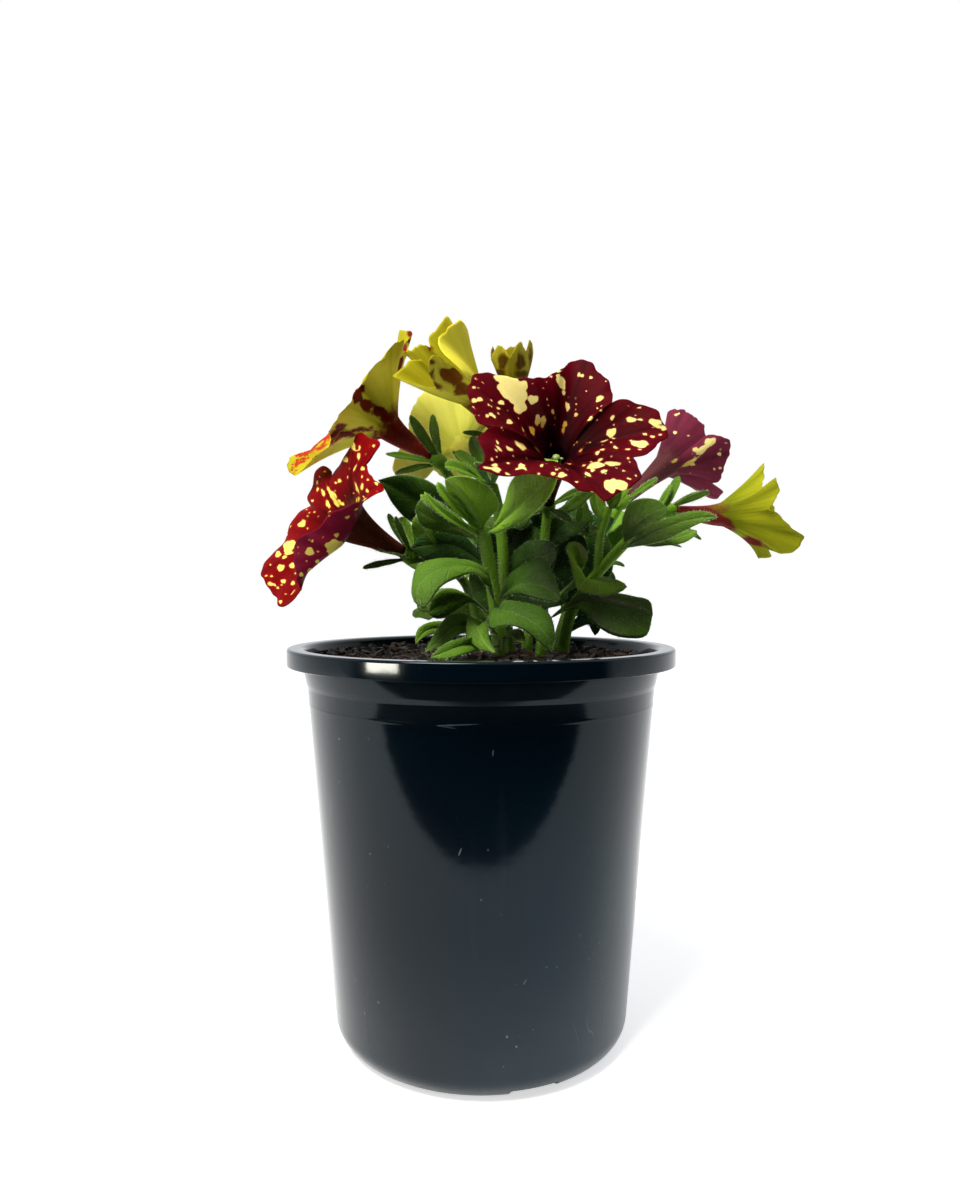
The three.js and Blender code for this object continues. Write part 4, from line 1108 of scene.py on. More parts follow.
def patchField(laid, grid, outside):
    # mm to the edge of the nearest patch on that side, below 0 on one
    field = np.full(grid.shape[:2], float(bloomShape["farFromPatch"]))
    x, y, _ = photoPlaces(grid)
    for patch in laid:
        if patch["outside"] != outside:
            continue
        arms = grid - patch["middle"]
        if "seen" in patch:
            px, py, half, narrow, turn, scale = patch["seen"]
            ahead = ((x - px) * math.cos(turn) - (y - py) * math.sin(turn)) / half
            aside = ((x - px) * math.sin(turn) + (y - py) * math.cos(turn)) / narrow
            size, reach = narrow * scale, bloomShape["patchDepth"] + 1.5 * half * scale
        else:
            axes = np.linalg.pinv(np.stack([patch["long"], patch["short"]], axis=1))
            ahead, aside = np.moveaxis(arms @ axes.T, -1, 0)
            size, reach = np.linalg.norm(patch["short"]), bloomShape["patchDepth"]
        angle = np.arctan2(aside, ahead)
        phase = patch["phase"]
        uneven = 1
        for waves, height, turn in bloomShape["patchWaves"]:
            uneven = uneven + height * np.sin(waves * angle + turn * phase)
        distance = (np.hypot(ahead, aside) / uneven - 1) * max(size, bloomShape["leastPatch"])
        near = np.linalg.norm(arms, axis=-1) < reach
        onSheet = near & (np.abs(arms @ patch["across"]) < bloomShape["patchDepth"])
        field = np.minimum(field, np.where(onSheet, distance, bloomShape["farFromPatch"]))
    return np.clip(field, -2, bloomShape["farFromPatch"])


def corollaPiece(bloom, rng):
    # both sides of the corolla in one closed sheet, with what its finish reads
    facing, right, up, _ = bloomFrame(bloom)
    margin = marginOf(bloom, bloomShape["lobeColumns"] + bloom.get("finer", 0))
    grid = corollaGrid(bloom, margin)
    around = np.roll(grid, -1, axis=1) - np.roll(grid, 1, axis=1)
    normal = unit(np.cross(around, np.gradient(grid, axis=0)))
    tubeRows, rows = bloomShape["tubeRows"], len(grid) - 1
    limbRows = rows - tubeRows
    share = np.clip((np.arange(rows + 1) - tubeRows) / limbRows, 0, 1)[:, None]
    thick = bloomShape["thickness"] / 2 * np.sqrt(np.maximum(0.02, 1 - share ** 12))[..., None]
    outer, inner = grid + normal * thick, (grid - normal * thick)[:0:-1]
    firstCap = np.broadcast_to(outer[0].mean(axis=0), outer[:1].shape)
    lastCap = np.broadcast_to(inner[-1].mean(axis=0), outer[:1].shape)
    places = np.concatenate([firstCap, outer, inner, lastCap])
    shares = np.concatenate([share[:1], share, share[:0:-1], share[1:2]])
    flow = np.concatenate([[0], np.linspace(0, 1, rows + 1), np.linspace(1, 0, rows), [0]])[:, None]
    inside = np.concatenate([np.zeros(len(outer) + 1), np.ones(len(inner) + 1)])[:, None]
    halfArc = np.maximum(shares, 0.12) * margin["reach"][None] * math.pi / 5
    off = margin["off"][None]
    atMiddle, atNotch = bloomShape["ribWidths"]
    rib = np.exp(-(off * halfArc / atMiddle) ** 2)
    rib = rib + bloomShape["notchRib"] * np.exp(-((1 - off) * halfArc / atNotch) ** 2)
    fan = np.cos(2 * math.pi * (off * bloomShape["fanRays"] - shares * bloomShape["fanLean"])) * 0.5 + 0.5

    def bothSides(laid):
        onOuter, onInner = patchField(laid, grid, True), patchField(laid, grid, False)[:0:-1]
        return np.concatenate([onOuter[:1], onOuter, onInner, onInner[-1:]])

    read = layPatches(bloom["marks"], grid, normal)
    strewn = strewPatches(bloom.get("strewn", 0), grid, normal, rng)
    attributes = {
        "marks": bothSides(read + strewn),
        "stainsAndShade": bothSides(layPatches(bloom.get("stainsAndShade", []), grid, normal)),
        "inside": inside, "out": shares, "flow": flow, "rib": rib, "fan": fan ** 4,
    }
    petals = shapedTube(bloom["name"] + "_petals", len(margin["angle"]), len(places) - 1, places, attributes)
    return petals, grid, normal, facing, right, up


pistilShape = {
    "styleReach": (0.1, 0.94),      # shares of the tube
    "styleRadii": [0.5, 0.45, 0.5],
    "stigmaPlaces": (0, 0.7, 1.4),
    "stigmaRadii": [0.5, 1.4, 1.2],
    "stamens": 5,
    "stamenTurn": 0.4,
    "stamenFoot": (0.35, 0.8),      # share of the tube, and mm off its middle
    "filamentRadii": [0.2, 0.2],
    "antherOut": 2.1,
    "antherBack": (0.6, 0.5),       # least, and the step from one height to the next
    "antherPlaces": (-0.6, 0, 0.6),
    "antherRadii": [0.35, 0.6, 0.35],
}


def pistilPieces(bloom, facing, right, up):
    # style, stigma and the stamens round it
    p = pistilShape
    line, ahead = tubeLine(bloom, facing, np.linspace(*p["styleReach"], 6))
    top, way = line[-1], ahead[-1]
    stigma = [top + way * place for place in p["stigmaPlaces"]]
    pieces = [
        tubeAlong("style", line, p["styleRadii"], sides=8)[0],
        tubeAlong("stigma", stigma, p["stigmaRadii"], sides=12, step=0.3)[0],
    ]
    share, out = p["stamenFoot"]
    least, lower = p["antherBack"]
    for k in range(p["stamens"]):
        angle = 2 * math.pi * k / p["stamens"] + p["stamenTurn"]
        outward = right * math.cos(angle) + up * math.sin(angle)
        foot, _ = tubeLine(bloom, facing, share)
        head = top + outward * p["antherOut"] - way * (least + lower * (k % 3))
        pieces.append(tubeAlong("filament", [foot + outward * out, head], p["filamentRadii"], sides=5)[0])
        anther = [head + right * place for place in p["antherPlaces"]]
        pieces.append(tubeAlong("anther", anther, p["antherRadii"], sides=8, step=0.25)[0])
    return pieces


calyxShape = {
    "cupRadii": [1.3, 2.7, 3.0, 2.7],
    "cupPlaces": (-3.4, -1.2, 1),       # along the stem from the middle of the swollen end
    "lipBehindNeck": 0.35,
    "footBehindNeck": 3,
    "footRadius": 1.2,
    "kneeRadius": 4.2,
    "tipRadius": 3.6,
    "sepals": 5,
    "fold": 12,
    "fuzz": 1.6,
}


def calyxPieces(bloom, rng):
    # swollen stem end and five narrow sepals behind a bloom's neck
    neck, throat = np.array(bloom["neck"], float), np.array(bloom["throat"], float)
    forward = unit(throat - neck)
    sideways = unit(np.cross(forward, [0.1, 0.2, 1]))
    across = np.cross(sideways, forward)
    headCentre = neck - forward * (bloomShape["headRadius"] + bloomShape["clearance"])
    c = calyxShape
    cup = [headCentre + forward * place for place in c["cupPlaces"]] + [neck - forward * c["lipBehindNeck"]]
    pieces = [tubeAlong("calyx", cup, c["cupRadii"], sides=16, step=0.5, across=0, tone=0.55, upper=1)[0]]
    hairs = []
    sepals = bloom["sepals"]
    lean = math.radians(sepals["spread"])
    ahead, aside = sepals["length"] * math.cos(lean), sepals["length"] * math.sin(lean)
    for i in range(c["sepals"]):
        angle = math.radians(sepals["turn"]) + i / c["sepals"] * 2 * math.pi
        radial = sideways * math.cos(angle) + across * math.sin(angle)
        sepal = {
            "base": neck - forward * c["footBehindNeck"] + radial * c["footRadius"],
            "via": neck + forward * ahead * 0.45 + radial * (c["kneeRadius"] + aside * 0.35),
            "tip": neck + forward * ahead + radial * (c["tipRadius"] + aside),
            "width": sepals["width"], "face": np.array([0, -0.9, 0.25]) - radial * 0.6,
            "fold": c["fold"], "fuzz": c["fuzz"], "tone": 0.2 + 0.2 * rng.random(),
        }
        piece, more = leafPiece("sepal", sepal, rng)
        pieces.append(piece)
        hairs += more
    return pieces, hairs, headCentre


def tubeHairs(grid, normal, rng):
    hairs = []
    for _ in range(bloomShape["tubeHairs"]):
        spot = rng.integers(0, bloomShape["tubeRows"] + 4), rng.integers(0, grid.shape[1])
        hairs.append((grid[spot], normal[spot] + rng.normal(0, 0.3, 3), rng.uniform(0.4, 1.0)))
    return hairs


stemShape = {"taper": (1.12, 1, 0.92), "sides": 14, "step": 1.2, "hairsPerStep": 9, "places": 200}


def stemPiece(path, radius, tone, rng):
    radii = [radius * share for share in stemShape["taper"]]
    piece, line, ahead, radiusAlong = tubeAlong(
        "stem", path, radii, sides=stemShape["sides"], step=stemShape["step"], across=0, tone=tone, upper=1)
    hairs = []
    for _ in range(len(line) * stemShape["hairsPerStep"]):
        i = rng.integers(0, len(line))
        outward = unit(np.cross(ahead[i], rng.normal(0, 1, 3)))
        hairs.append((line[i] + outward * radiusAlong[i], outward + rng.normal(0, 0.2, 3),
                      rng.uniform(0.5, 1.2)))
    return piece, hairs


def shootPiece(shoot, blooms, finishes):
    # one leafy stem with its side shoots, leaves, calyxes and hairs
    rng = np.random.default_rng(sum(ord(letter) for letter in shoot["name"]))
    named = {bloom["name"]: bloom for bloom in blooms}
    pieces, hairs = [], []

    def grow(start, part):
        # a stem from start along its path to its bloom's calyx, if it has one
        route = [np.array(p, float) for p in start + part["path"]]
        if "bloom" in part:
            calyx, more, head = calyxPieces(named[part["bloom"]], rng)
            pieces.extend(calyx)
            hairs.extend(more)
            route.append(head)
        stem, more = stemPiece(route, part["radius"], shoot.get("tone", 0.6), rng)
        pieces.append(stem)
        hairs.extend(more)
        return smoothPath(route, stemShape["places"])

    def placeOn(line, share):
        return line[int(round(share * (stemShape["places"] - 1)))]

    main = grow([], shoot)
    branches = [grow([placeOn(main, branch["from"])], branch) for branch in shoot.get("branches", [])]
    for spec in shoot["leaves"]:
        carrier = branches[spec["branch"]] if "branch" in spec else main
        made, more = leafPiece("leaf", {**spec, "base": placeOn(carrier, spec["at"])}, rng)
        pieces.append(made)
        hairs += more
    piece = joinPieces(shoot["name"] + "_fine", pieces)
    wear(piece, finishes["foliage"], finishes["hair"])
    fuzz = growHairs("fuzz", *zip(*hairs))
    wear(fuzz, finishes["hair"])
    piece = joinPieces(shoot["name"] + "_fine", [piece, fuzz])
    handOver(piece, shoot["name"])
    return piece


def bloomPiece(bloom, finishes):
    rng = np.random.default_rng(sum(ord(letter) for letter in bloom["name"]))
    petals, grid, normal, facing, right, up = corollaPiece(bloom, rng)
    wear(petals, finishes[bloom["finish"]])
    pieces = [petals]
    if bloom["pistil"]:
        pistil = joinPieces("pistil", pistilPieces(bloom, facing, right, up))
        wear(pistil, finishes["pistil"])
        pieces.append(pistil)
    hairs = growHairs("fuzz", *zip(*tubeHairs(grid, normal, rng)))
    wear(hairs, finishes["hair"])
    piece = joinPieces(bloom["name"] + "_fine", pieces + [hairs])
    handOver(piece, bloom["name"])
    return piece


# the blooms of the frame again, in mm. A rim is five lobes of points of the margin, each lobe from its first
# notch and each point as two pixels of the photo and its y in mm. Each patch of marks, and each of stains and
# painted shade, is its middle, length and width in pixels of the photo, and its tilt in degrees
blooms = [
    {
        "name": "bloom_front", "finish": "darkRed", "slot": "petal_dark_red", "finer": 32,
        "neck": [24, -8, 192], "throat": [25, -30, 205],
        "facing": [0.02, -0.79, 0.61], "top": [0, 0, 1], "throatRadius": 4.2, "flare": 0.42, "rise": 12,
        "ruffle": 0.7, "rufflePhase": 0.6, "pistil": True,
        "ahead": 15.3,
        "rim": [
            [(634, 459), (644, 455), (653, 449), (661, 441), (669, 432), (659, 417), (652, 409),
             (636, 404), (620, 399)],
            [(612, 402), (613, 394), (611, 386), (598, 372), (586, 361), (578, 359), (568, 362),
             (558, 371), (543, 378)],
            [(533, 381), (515, 378), (495, 373), (486, 371), (475, 374), (468, 386), (469, 401),
             (475, 417), (480, 424)],
            [(492, 425), (483, 431), (477, 437), (481, 447), (484, 461), (479, 469), (495, 474),
             (512, 474), (530, 474)],
            [(548, 477), (566, 483), (579, 492), (595, 492), (606, 500), (619, 492), (641, 479),
             (637, 469)],
        ],
        "marks": [
            (476, 379, 5, 2.5, -30), (483, 383.3, 3.5, 1.6, -40), (473.3, 388, 4.5, 3, 0),
            (478.3, 388.4, 3.4, 2, -25), (474, 401, 6.5, 5, 0), (479, 400, 8, 5, 10),
            (491, 400.8, 3.5, 1.6, -45), (501, 403, 7.5, 5, -5), (488.3, 405.5, 4, 2.4, -25),
            (491, 407, 3.5, 1, -45), (497.7, 409, 4.5, 2.8, -20), (498, 414, 3.5, 1.6, -35),
            (473, 407.3, 2.2, 1.8, 0), (475, 409.2, 2.2, 1.8, 0), (487, 416.5, 4.5, 4, 45),
            (490.5, 414.8, 5, 4, 0), (493.5, 417, 5.5, 3, -35), (509, 422.5, 7, 5, -20),
            (501.3, 428.3, 2.2, 1.8, 0), (502.6, 430.6, 1.8, 1.5, 0), (518, 418.3, 4, 0.9, -55),
            (522.5, 430, 6, 1.6, -70), (500, 378.5, 12, 9, -15), (511, 382, 24, 13, -13),
            (521, 387, 14, 14, 0), (508, 391, 22, 17, -50), (518, 397, 20, 20, 0), (520, 406, 17, 13, 90),
            (551, 376.8, 4, 3, -20), (559, 371.5, 6, 2.5, 20), (561, 383, 15, 8, -70), (558, 376, 5, 4, 0),
            (563.2, 393, 5.5, 4, -80), (579, 375, 5.5, 3, 70), (582.3, 376, 4.5, 4, 20),
            (591, 378, 4.5, 3.6, 0), (586.6, 391.5, 2, 1.8, 0), (576.6, 404.4, 2.2, 2.2, 0),
            (576.2, 415, 4.8, 3.8, 60), (576, 410, 2.5, 1.2, 45), (567.3, 406.5, 9.5, 5, -80),
            (552.5, 412, 6, 3, -75), (553.8, 424.7, 2, 1.8, 0), (533, 399.5, 11, 9, 0),
            (532.8, 383.8, 2, 2, 0), (537.7, 420, 12, 6, 85), (543.3, 421.5, 13, 5, 80),
            (540.5, 420, 6, 4, 0), (565, 424.5, 7, 5, 70), (563.2, 430, 7.5, 4, 80),
            (547, 399.5, 3.5, 1.3, -75), (548, 405, 3, 1.5, -70), (546, 382, 3, 1.5, -45),
            (543, 388.5, 2.5, 1.5, -50), (599.7, 399, 9, 6, 35), (597.7, 408.6, 2.2, 2, 0),
            (597, 420, 2.6, 2.2, 30), (591, 418.5, 8, 3, 50), (601.7, 406.6, 3, 1.2, 35),
            (601.2, 411, 3.2, 2.6, 45), (612.3, 418, 6.5, 3.8, 60), (614, 425, 2.4, 2.2, 45),
            (628.5, 406.5, 2.6, 2, -20), (639.5, 408, 5, 2.2, 10), (635.8, 415.6, 2.4, 1.6, 0),
            (631, 420, 11, 6, -5), (640.5, 420, 8, 2.6, -5), (655, 422.5, 14, 7, -8), (658.5, 427, 6, 4, 0),
            (652.6, 427.6, 2.2, 2.2, 0), (664, 428.5, 6, 5.5, 30), (606, 381.5, 2, 2, 0),
            (612, 392, 3, 1.5, -60), (611.5, 433, 11.5, 8.5, 40), (614, 438.8, 4, 1.4, 0),
            (604.8, 441.3, 9, 1.6, 18), (611.5, 443, 3.5, 2.4, -20), (603, 445.2, 2.5, 1.3, 35),
            (615.5, 448, 5, 3, -25), (602.5, 450.3, 6, 2, 5), (597.8, 453.3, 5.5, 3.4, 35),
            (612, 456.7, 2.6, 2, 10), (628.4, 458.7, 3.6, 2.8, 15), (630, 462.7, 2.6, 1.8, 0),
            (640, 444.5, 19, 7.5, -3), (631, 441.4, 3.4, 2.2, 0), (645, 434.5, 5.5, 3, -10),
            (652.5, 437.3, 5.5, 3, -5), (660.3, 435.2, 5.5, 2.4, 5), (628, 450, 6.5, 2, 3),
            (640, 450, 5, 2, 0), (600.5, 460.5, 7, 3, 35), (596, 466, 18, 7, 10), (593, 471, 6, 3, 15),
            (613, 464, 18, 5, -2), (604.3, 471.8, 8, 3.6, 15), (616.7, 468.4, 2.4, 1.8, 0),
            (624, 471.3, 5, 2.4, -10), (606, 474.4, 2.6, 1.4, 0), (629, 479.3, 6.5, 2.4, -10),
            (636, 476, 3, 2, -35), (611, 486, 14, 14, 0), (619, 485.5, 20, 10, -10),
            (577, 442, 2.6, 2.4, 60), (574.3, 444.8, 3, 1.8, 60), (587.5, 443, 2, 1.8, 0),
            (590.5, 442.7, 1.8, 1.4, 0), (581, 451, 6, 2.6, 55), (591.5, 462.4, 2.6, 2, 10),
            (584, 466, 4.5, 2.4, 20), (588, 475, 8, 3.6, -30), (576.5, 482.6, 4.8, 2, -3),
            (562, 475.5, 9, 5.4, 0), (553, 474.3, 5.6, 3.8, -8), (556.4, 470.3, 3.4, 2.2, -5),
            (541.8, 466.3, 3.8, 3.2, 40), (539, 474.3, 4, 2.6, -35), (561.2, 464.2, 5, 1.2, -25),
            (569.5, 464.5, 5.5, 1.4, -8), (536.8, 450, 8.5, 1.4, -50), (550.5, 444.5, 4, 1.4, 80),
            (532, 430.5, 10, 5.4, -75), (520, 446, 15, 5.6, -38), (509, 449.3, 9, 3.6, -30),
            (497.3, 443.2, 5.5, 2.2, -60), (499, 449.3, 10, 3, -45), (496, 451, 5.5, 2, -45),
            (496.3, 457.3, 2, 1.8, 0), (512.6, 456.3, 2.8, 1.8, -50), (491.6, 459.8, 3.8, 3, -60),
            (507.8, 463.7, 4.6, 2.4, -8), (494.5, 465.8, 7.5, 3.6, 0), (488, 468.5, 12, 2.5, -10),
            (496, 470, 11, 5, -15), (507.5, 474.5, 6.5, 2.6, -20), (521.5, 467, 7, 6, 0),
            (517.5, 469.5, 6, 2.4, 15), (525, 469.5, 6, 3, -40),
        ],
        "strewn": 70,
        "sepals": {"length": 12, "width": 3.2, "spread": 62, "turn": 20},
    },
    {
        "name": "bloom_upper_left", "finish": "yellowGreen", "slot": "petal_yellow_green", "finer": 0,
        "neck": [-18, 8, 210], "throat": [-35, 14, 222],
        "facing": [-0.74, -0.21, 0.64], "top": [0, 0, 1], "throatRadius": 5, "flare": 0.4, "rise": 11,
        "ruffle": 0.6, "rufflePhase": 2, "pistil": False,
        "rim": [
            [(361, 387, -6), (369, 372, -10), (382, 355, -13), (391, 347, -12), (404, 341, -6)],
            [(403, 352, 4), (408, 349, 10), (405, 343, 15), (413, 334, 21), (401, 331, 25), (396, 341, 30),
             (384, 354, 36)],
            [(372, 371, 42), (364, 381, 45), (356, 395, 45), (349, 405, 42)],
            [(340, 416, 36), (330, 433, 29), (316, 444, 24), (302, 452, 20), (291, 457, 17),
             (288, 466, 13), (295, 477, 8), (306, 463, 4), (320, 452, 0), (332, 444, -4)],
            [(330, 433, -9), (334, 421, -12), (342, 410, -14), (352, 397, -13)],
        ],
        "marks": [
            (326, 437, 16, 6, 40), (316, 444, 12, 5, 40), (309, 452, 14, 5, 30), (301, 455, 12, 4, 20),
            (297, 464, 14, 4, 45), (293, 472, 8, 4, 50), (304, 461, 10, 3, 40), (322, 447, 16, 4, 35),
            (335, 440, 14, 4, 30),
        ],
        "stainsAndShade": [
            (357, 396, 12, 16, 0), (366, 405, 18, 12, -30), (380, 413, 26, 12, -30), (340, 427, 14, 8, 30),
            (336, 432, 16, 7, 50), (345, 434, 20, 8, 10), (362, 429, 24, 6, 5), (361, 389, 8, 10, 0),
            (404, 350, 7, 22, -10), (399, 365, 5, 20, -15), (411, 334, 8, 10, 0), (408, 340, 7, 8, 0),
        ],
        "sepals": {"length": 16, "width": 4, "spread": 42, "turn": 10},
    },
    {
        "name": "bloom_lower_left", "finish": "brightRed", "slot": "petal_bright_red", "finer": 20,
        "neck": [-28, -9, 174], "throat": [-46, -16, 184],
        "facing": [-0.74, -0.4, 0.54], "top": [0, 0, 1], "throatRadius": 7,
        "flare": [0.95, 0.5, 0.4, 0.4, 0.6], "rise": [1, 8, 9, 9, 7],
        "ruffle": 0.5, "rufflePhase": 0.3, "pistil": True,
        "rim": [
            [(360, 504, -36), (345, 506, -40), (328, 514, -44), (319, 527, -45), (303, 537, -44),
             (294, 550, -41), (294, 565, -36), (296, 580, -30)],
            [(303, 591, -24), (290, 604, -20), (281, 607, -18), (272, 593, -11), (263, 578, -4),
             (264, 565, 1), (275, 553, 4), (283, 541, 6), (288, 527, 8), (298, 513, 9)],
            [(311, 506, 9), (308, 498, 11), (314, 486, 13), (317, 472, 15), (323, 466, 14), (331, 471, 10)],
            [(330, 476, 8), (338, 466, 6), (345, 453, 2), (353, 445, -3), (360, 434, -8), (367, 436, -11),
             (380, 444, -16), (372, 455, -16)],
            [(365, 464, -16), (373, 478, -20), (383, 487, -26), (372, 497, -32)],
        ],
        "marks": [
            (302.5, 524, 10, 6, 35), (315, 512.3, 3, 2, 10), (310, 513, 3, 1.6, 20), (307, 510, 3, 1.4, 20),
            (308, 528.5, 2.4, 2.4, -50), (291, 527, 5, 1.6, 50), (287, 535, 2.6, 3, 0),
            (289, 547, 12, 11, 30), (293, 543, 8, 5, 0), (289, 553, 9, 5, 10), (278.5, 554.5, 7, 6, 70),
            (285, 557.5, 6, 3.4, 20), (271, 565, 2.6, 1.8, 0), (281.3, 568, 8, 7, 30),
            (292.5, 566, 6, 6, 20), (266.6, 576, 3.6, 2.4, 0), (272, 576.5, 3.6, 2.6, 0),
            (284, 581.5, 5.6, 4.4, -10), (282, 585, 2.6, 2, 0), (270.5, 584, 5.5, 4.4, -20),
            (275, 585, 3.4, 3, 0), (278.3, 588, 4, 2.6, 0), (293.5, 583.5, 5, 4.4, 60),
            (293, 593.5, 6, 1.2, 35), (294.5, 591, 5, 1, 45), (286.3, 594.4, 3, 1.6, 10),
            (281, 602, 4, 4, 0), (336, 534.5, 6, 4.6, 0), (333, 545, 16, 12, 5), (338, 545, 11, 9, 0),
            (331, 550, 10, 8, 25), (309.6, 551, 9, 9, 0), (312, 540.5, 3.4, 3.4, 0), (297.8, 547, 3, 2, 90),
            (299, 552.5, 3, 2, 90), (306.5, 560.5, 2.6, 2, 0), (317, 561, 4.8, 4.4, 0),
            (318, 551, 3, 2.4, 0), (311, 571.7, 9, 8, -30), (301, 574, 5, 4.6, 80),
            (296, 573.5, 3, 2.4, 90), (322.7, 537, 3, 2, -20), (328.6, 524.5, 3.4, 1.6, 10),
            (328.3, 516, 4.4, 2, 15), (330, 512, 3, 1.6, 30), (346.7, 517, 6, 3.4, 15),
            (355.5, 509, 6, 1.8, 30), (329.5, 490, 9, 3, -60), (333.5, 496, 13, 6, -60),
            (338, 503, 8, 7, -40), (343, 504, 4, 3.6, 0), (323.7, 493.3, 8, 3.6, -75),
            (328.2, 504.5, 9, 4, -70), (313, 501, 3, 2.4, 0), (318.3, 489.5, 5, 2.6, 80),
            (317.7, 483, 5, 2.4, 80), (325, 472, 3, 2.4, 0), (320, 477, 3, 1.6, -70),
            (336.3, 483, 3.4, 2.6, 0), (340, 481, 4.4, 4.4, 60), (346.3, 460, 6, 5.4, 60),
            (342.4, 458, 2.6, 2.2, 0), (338.5, 459, 3, 2.4, 60), (350, 468.5, 2, 1.8, 0),
            (348.2, 477.5, 3.4, 1.6, 90), (354.3, 493.2, 2, 1.8, 0), (355.5, 468, 8, 1.8, 65),
            (363, 469, 4.4, 4, 70), (362.5, 477, 3.2, 2, 85), (368, 480.2, 2.4, 2.4, 0),
            (362.6, 487, 8.5, 3, 88), (367.6, 491, 5, 3, -70), (357.5, 488, 14, 2.6, -70),
            (359.4, 499, 6, 2.6, 85), (357.4, 500, 5, 1.6, 90), (364.2, 497, 3.4, 1.4, -55),
            (376.6, 484, 5, 3, -45), (353.5, 446, 11, 5, -70), (360, 448, 6, 2.6, 85),
            (359.3, 456.5, 7.6, 3.6, 85), (374, 446, 3.6, 3.6, 0), (357.6, 450.6, 3, 1.6, 0),
        ],
        "strewn": 40,
        "sepals": {"length": 13, "width": 3, "spread": 40, "turn": 0},
    },
    {
        "name": "bloom_back", "finish": "paleYellow", "slot": "petal_pale_yellow", "finer": 0,
        "neck": [0, 22, 205], "throat": [-8, 33, 217],
        "facing": [-0.15, 0.94, 0.3], "top": [0, 0, 1], "throatRadius": 4.6, "flare": 0.4, "rise": 8,
        "ruffle": 0.6, "rufflePhase": 1, "pistil": True,
        "rim": [
            [(408, 437, 43), (411, 412, 43), (418, 399, 44), (427, 390, 44), (440, 387, 45)],
            [(450, 391, 45), (463, 385, 46), (478, 386, 46), (492, 392, 46), (500, 402, 46)],
            [(496, 413, 46), (508, 424, 46), (510, 440, 46), (500, 456, 46)],
            [(486, 460, 46), (478, 474, 46), (462, 480, 46), (445, 478, 46)],
            [(432, 469, 45), (425, 479, 44), (410, 480, 44), (396, 475, 44), (393, 464, 43),
             (400, 448, 43)],
        ],
        "marks": [],
        "sepals": {"length": 12, "width": 3, "spread": 48, "turn": 30},
    },
    {
        "name": "bloom_right_back", "finish": "purple", "slot": "petal_purple", "finer": 0,
        "neck": [57, 20, 196], "throat": [74, 29, 210],
        "facing": [0.66, 0.56, 0.5], "top": [0, 0, 1], "throatRadius": 4.8, "flare": 0.45, "rise": 11,
        "ruffle": 0.7, "rufflePhase": 3, "pistil": True,
        "rim": [
            [(706, 436, 33), (710, 434, 32), (724, 437, 31), (730, 446, 32), (727, 460, 33),
             (719, 481, 35)],
            [(712, 484, 36), (717, 488, 38), (723, 493, 41), (716, 498, 46), (706, 496, 50)],
            [(698, 488, 52), (705, 482, 56), (706, 470, 59), (702, 460, 61)],
            [(692, 452, 61), (694, 440, 62), (690, 428, 62), (676, 422, 57)],
            [(670, 427, 52), (669, 416, 47), (670, 410, 43), (688, 412, 37), (697, 418, 35),
             (703, 427, 34)],
        ],
        "marks": [
            (690, 462, 20, 4, 30), (703, 449, 20, 6, 40), (710, 442, 12, 8, 20), (676, 415, 4, 3, 0),
            (679, 414, 3, 3, 0), (675, 433, 4, 4, 0), (688, 436, 3, 2, 0), (695, 450, 6, 5, 45),
            (692, 464, 6, 4, 0), (674, 461, 8, 3.4, 20), (719, 454, 5, 4, 0), (726, 443, 3, 2, 0),
            (720, 468, 4, 3, 0), (714, 469, 3, 3, 0), (657, 485, 8, 4, 0),
        ],
        "strewn": 50,
        "sepals": {"length": 12, "width": 3, "spread": 42, "turn": 0},
    },
    {
        "name": "bloom_right", "finish": "greenYellow", "slot": "petal_yellow_green", "finer": 0,
        "neck": [71, -2, 189], "throat": [88, -1, 188], "facing": [0.98, 0, 0.1],
        "top": [0, 0, 1], "throatRadius": 4, "flare": 0.5, "rise": 12, "ruffle": 0.3,
        "rufflePhase": 0, "pistil": False,
        "rim": [
            [(775, 535, 9), (779, 524, 12), (776, 512, 13), (769, 500, 13), (763, 488, 12)],
            [(757, 479, 10), (760, 470, 8), (763, 463, 5), (765, 475, 1), (762, 484, -3)],
            [(760, 491, -5), (767, 485, -7), (776, 478, -9), (779, 488, -10), (774, 501, -11)],
            [(770, 510, -11), (780, 514, -11), (791, 528, -11), (803, 537, -10), (797, 549, -9),
             (786, 554, -7)],
            [(769, 550, -4), (770, 557, -1), (758, 558, 3), (768, 549, 7)],
        ],
        "marks": [],
        "stainsAndShade": [(753, 541, 26, 8, -16), (740, 536, 14, 6, -20), (722, 522, 30, 12, -20),
                   (700, 512, 30, 10, -12)],
        "sepals": {"length": 12, "width": 2.6, "spread": 30, "turn": 40},
    },
    {
        "name": "bud_top", "finish": "yellowWithPaintedShade", "slot": "petal_yellow_green", "finer": 0,
        "neck": [6, 17, 222], "throat": [-3, 6, 232], "facing": [-0.6, -0.42, 0.68],
        "top": [0, 0, 1], "throatRadius": 4.6, "flare": 0.5, "rise": 10, "ruffle": 0.3,
        "rufflePhase": 0, "pistil": False,
        "rim": [
            [(470, 382, -18), (458, 367, -21), (444, 354, -20), (438, 340, -16), (450, 326, -10),
             (462, 321, -6), (468, 335, 2)],
            [(464, 345, 8), (456, 329, 12), (447, 317, 12), (434, 331, 9), (428, 339, 7)],
            [(430, 347, 4), (420, 345, 3), (413, 348, 1), (405, 353, -1), (413, 358, -3)],
            [(422, 360, -5), (412, 360, -7), (405, 367, -11), (394, 376, -15), (405, 380, -18),
             (420, 385, -21)],
            [(436, 388, -23), (429, 370, -28), (434, 356, -28), (448, 363, -26)],
        ],
        "marks": [],
        # painted shade: the dark inside of the half-open bud
        "stainsAndShade": [
            (430, 349, 8, 5, -70), (431, 362, 6, 5, 0), (431, 374, 9, 7, 80), (437, 386, 11, 6, -30),
            (452, 376, 26, 18, -20), (462, 388, 20, 14, -10),
        ],
        "sepals": {"length": 11, "width": 2.8, "spread": 42, "turn": 30},
    },
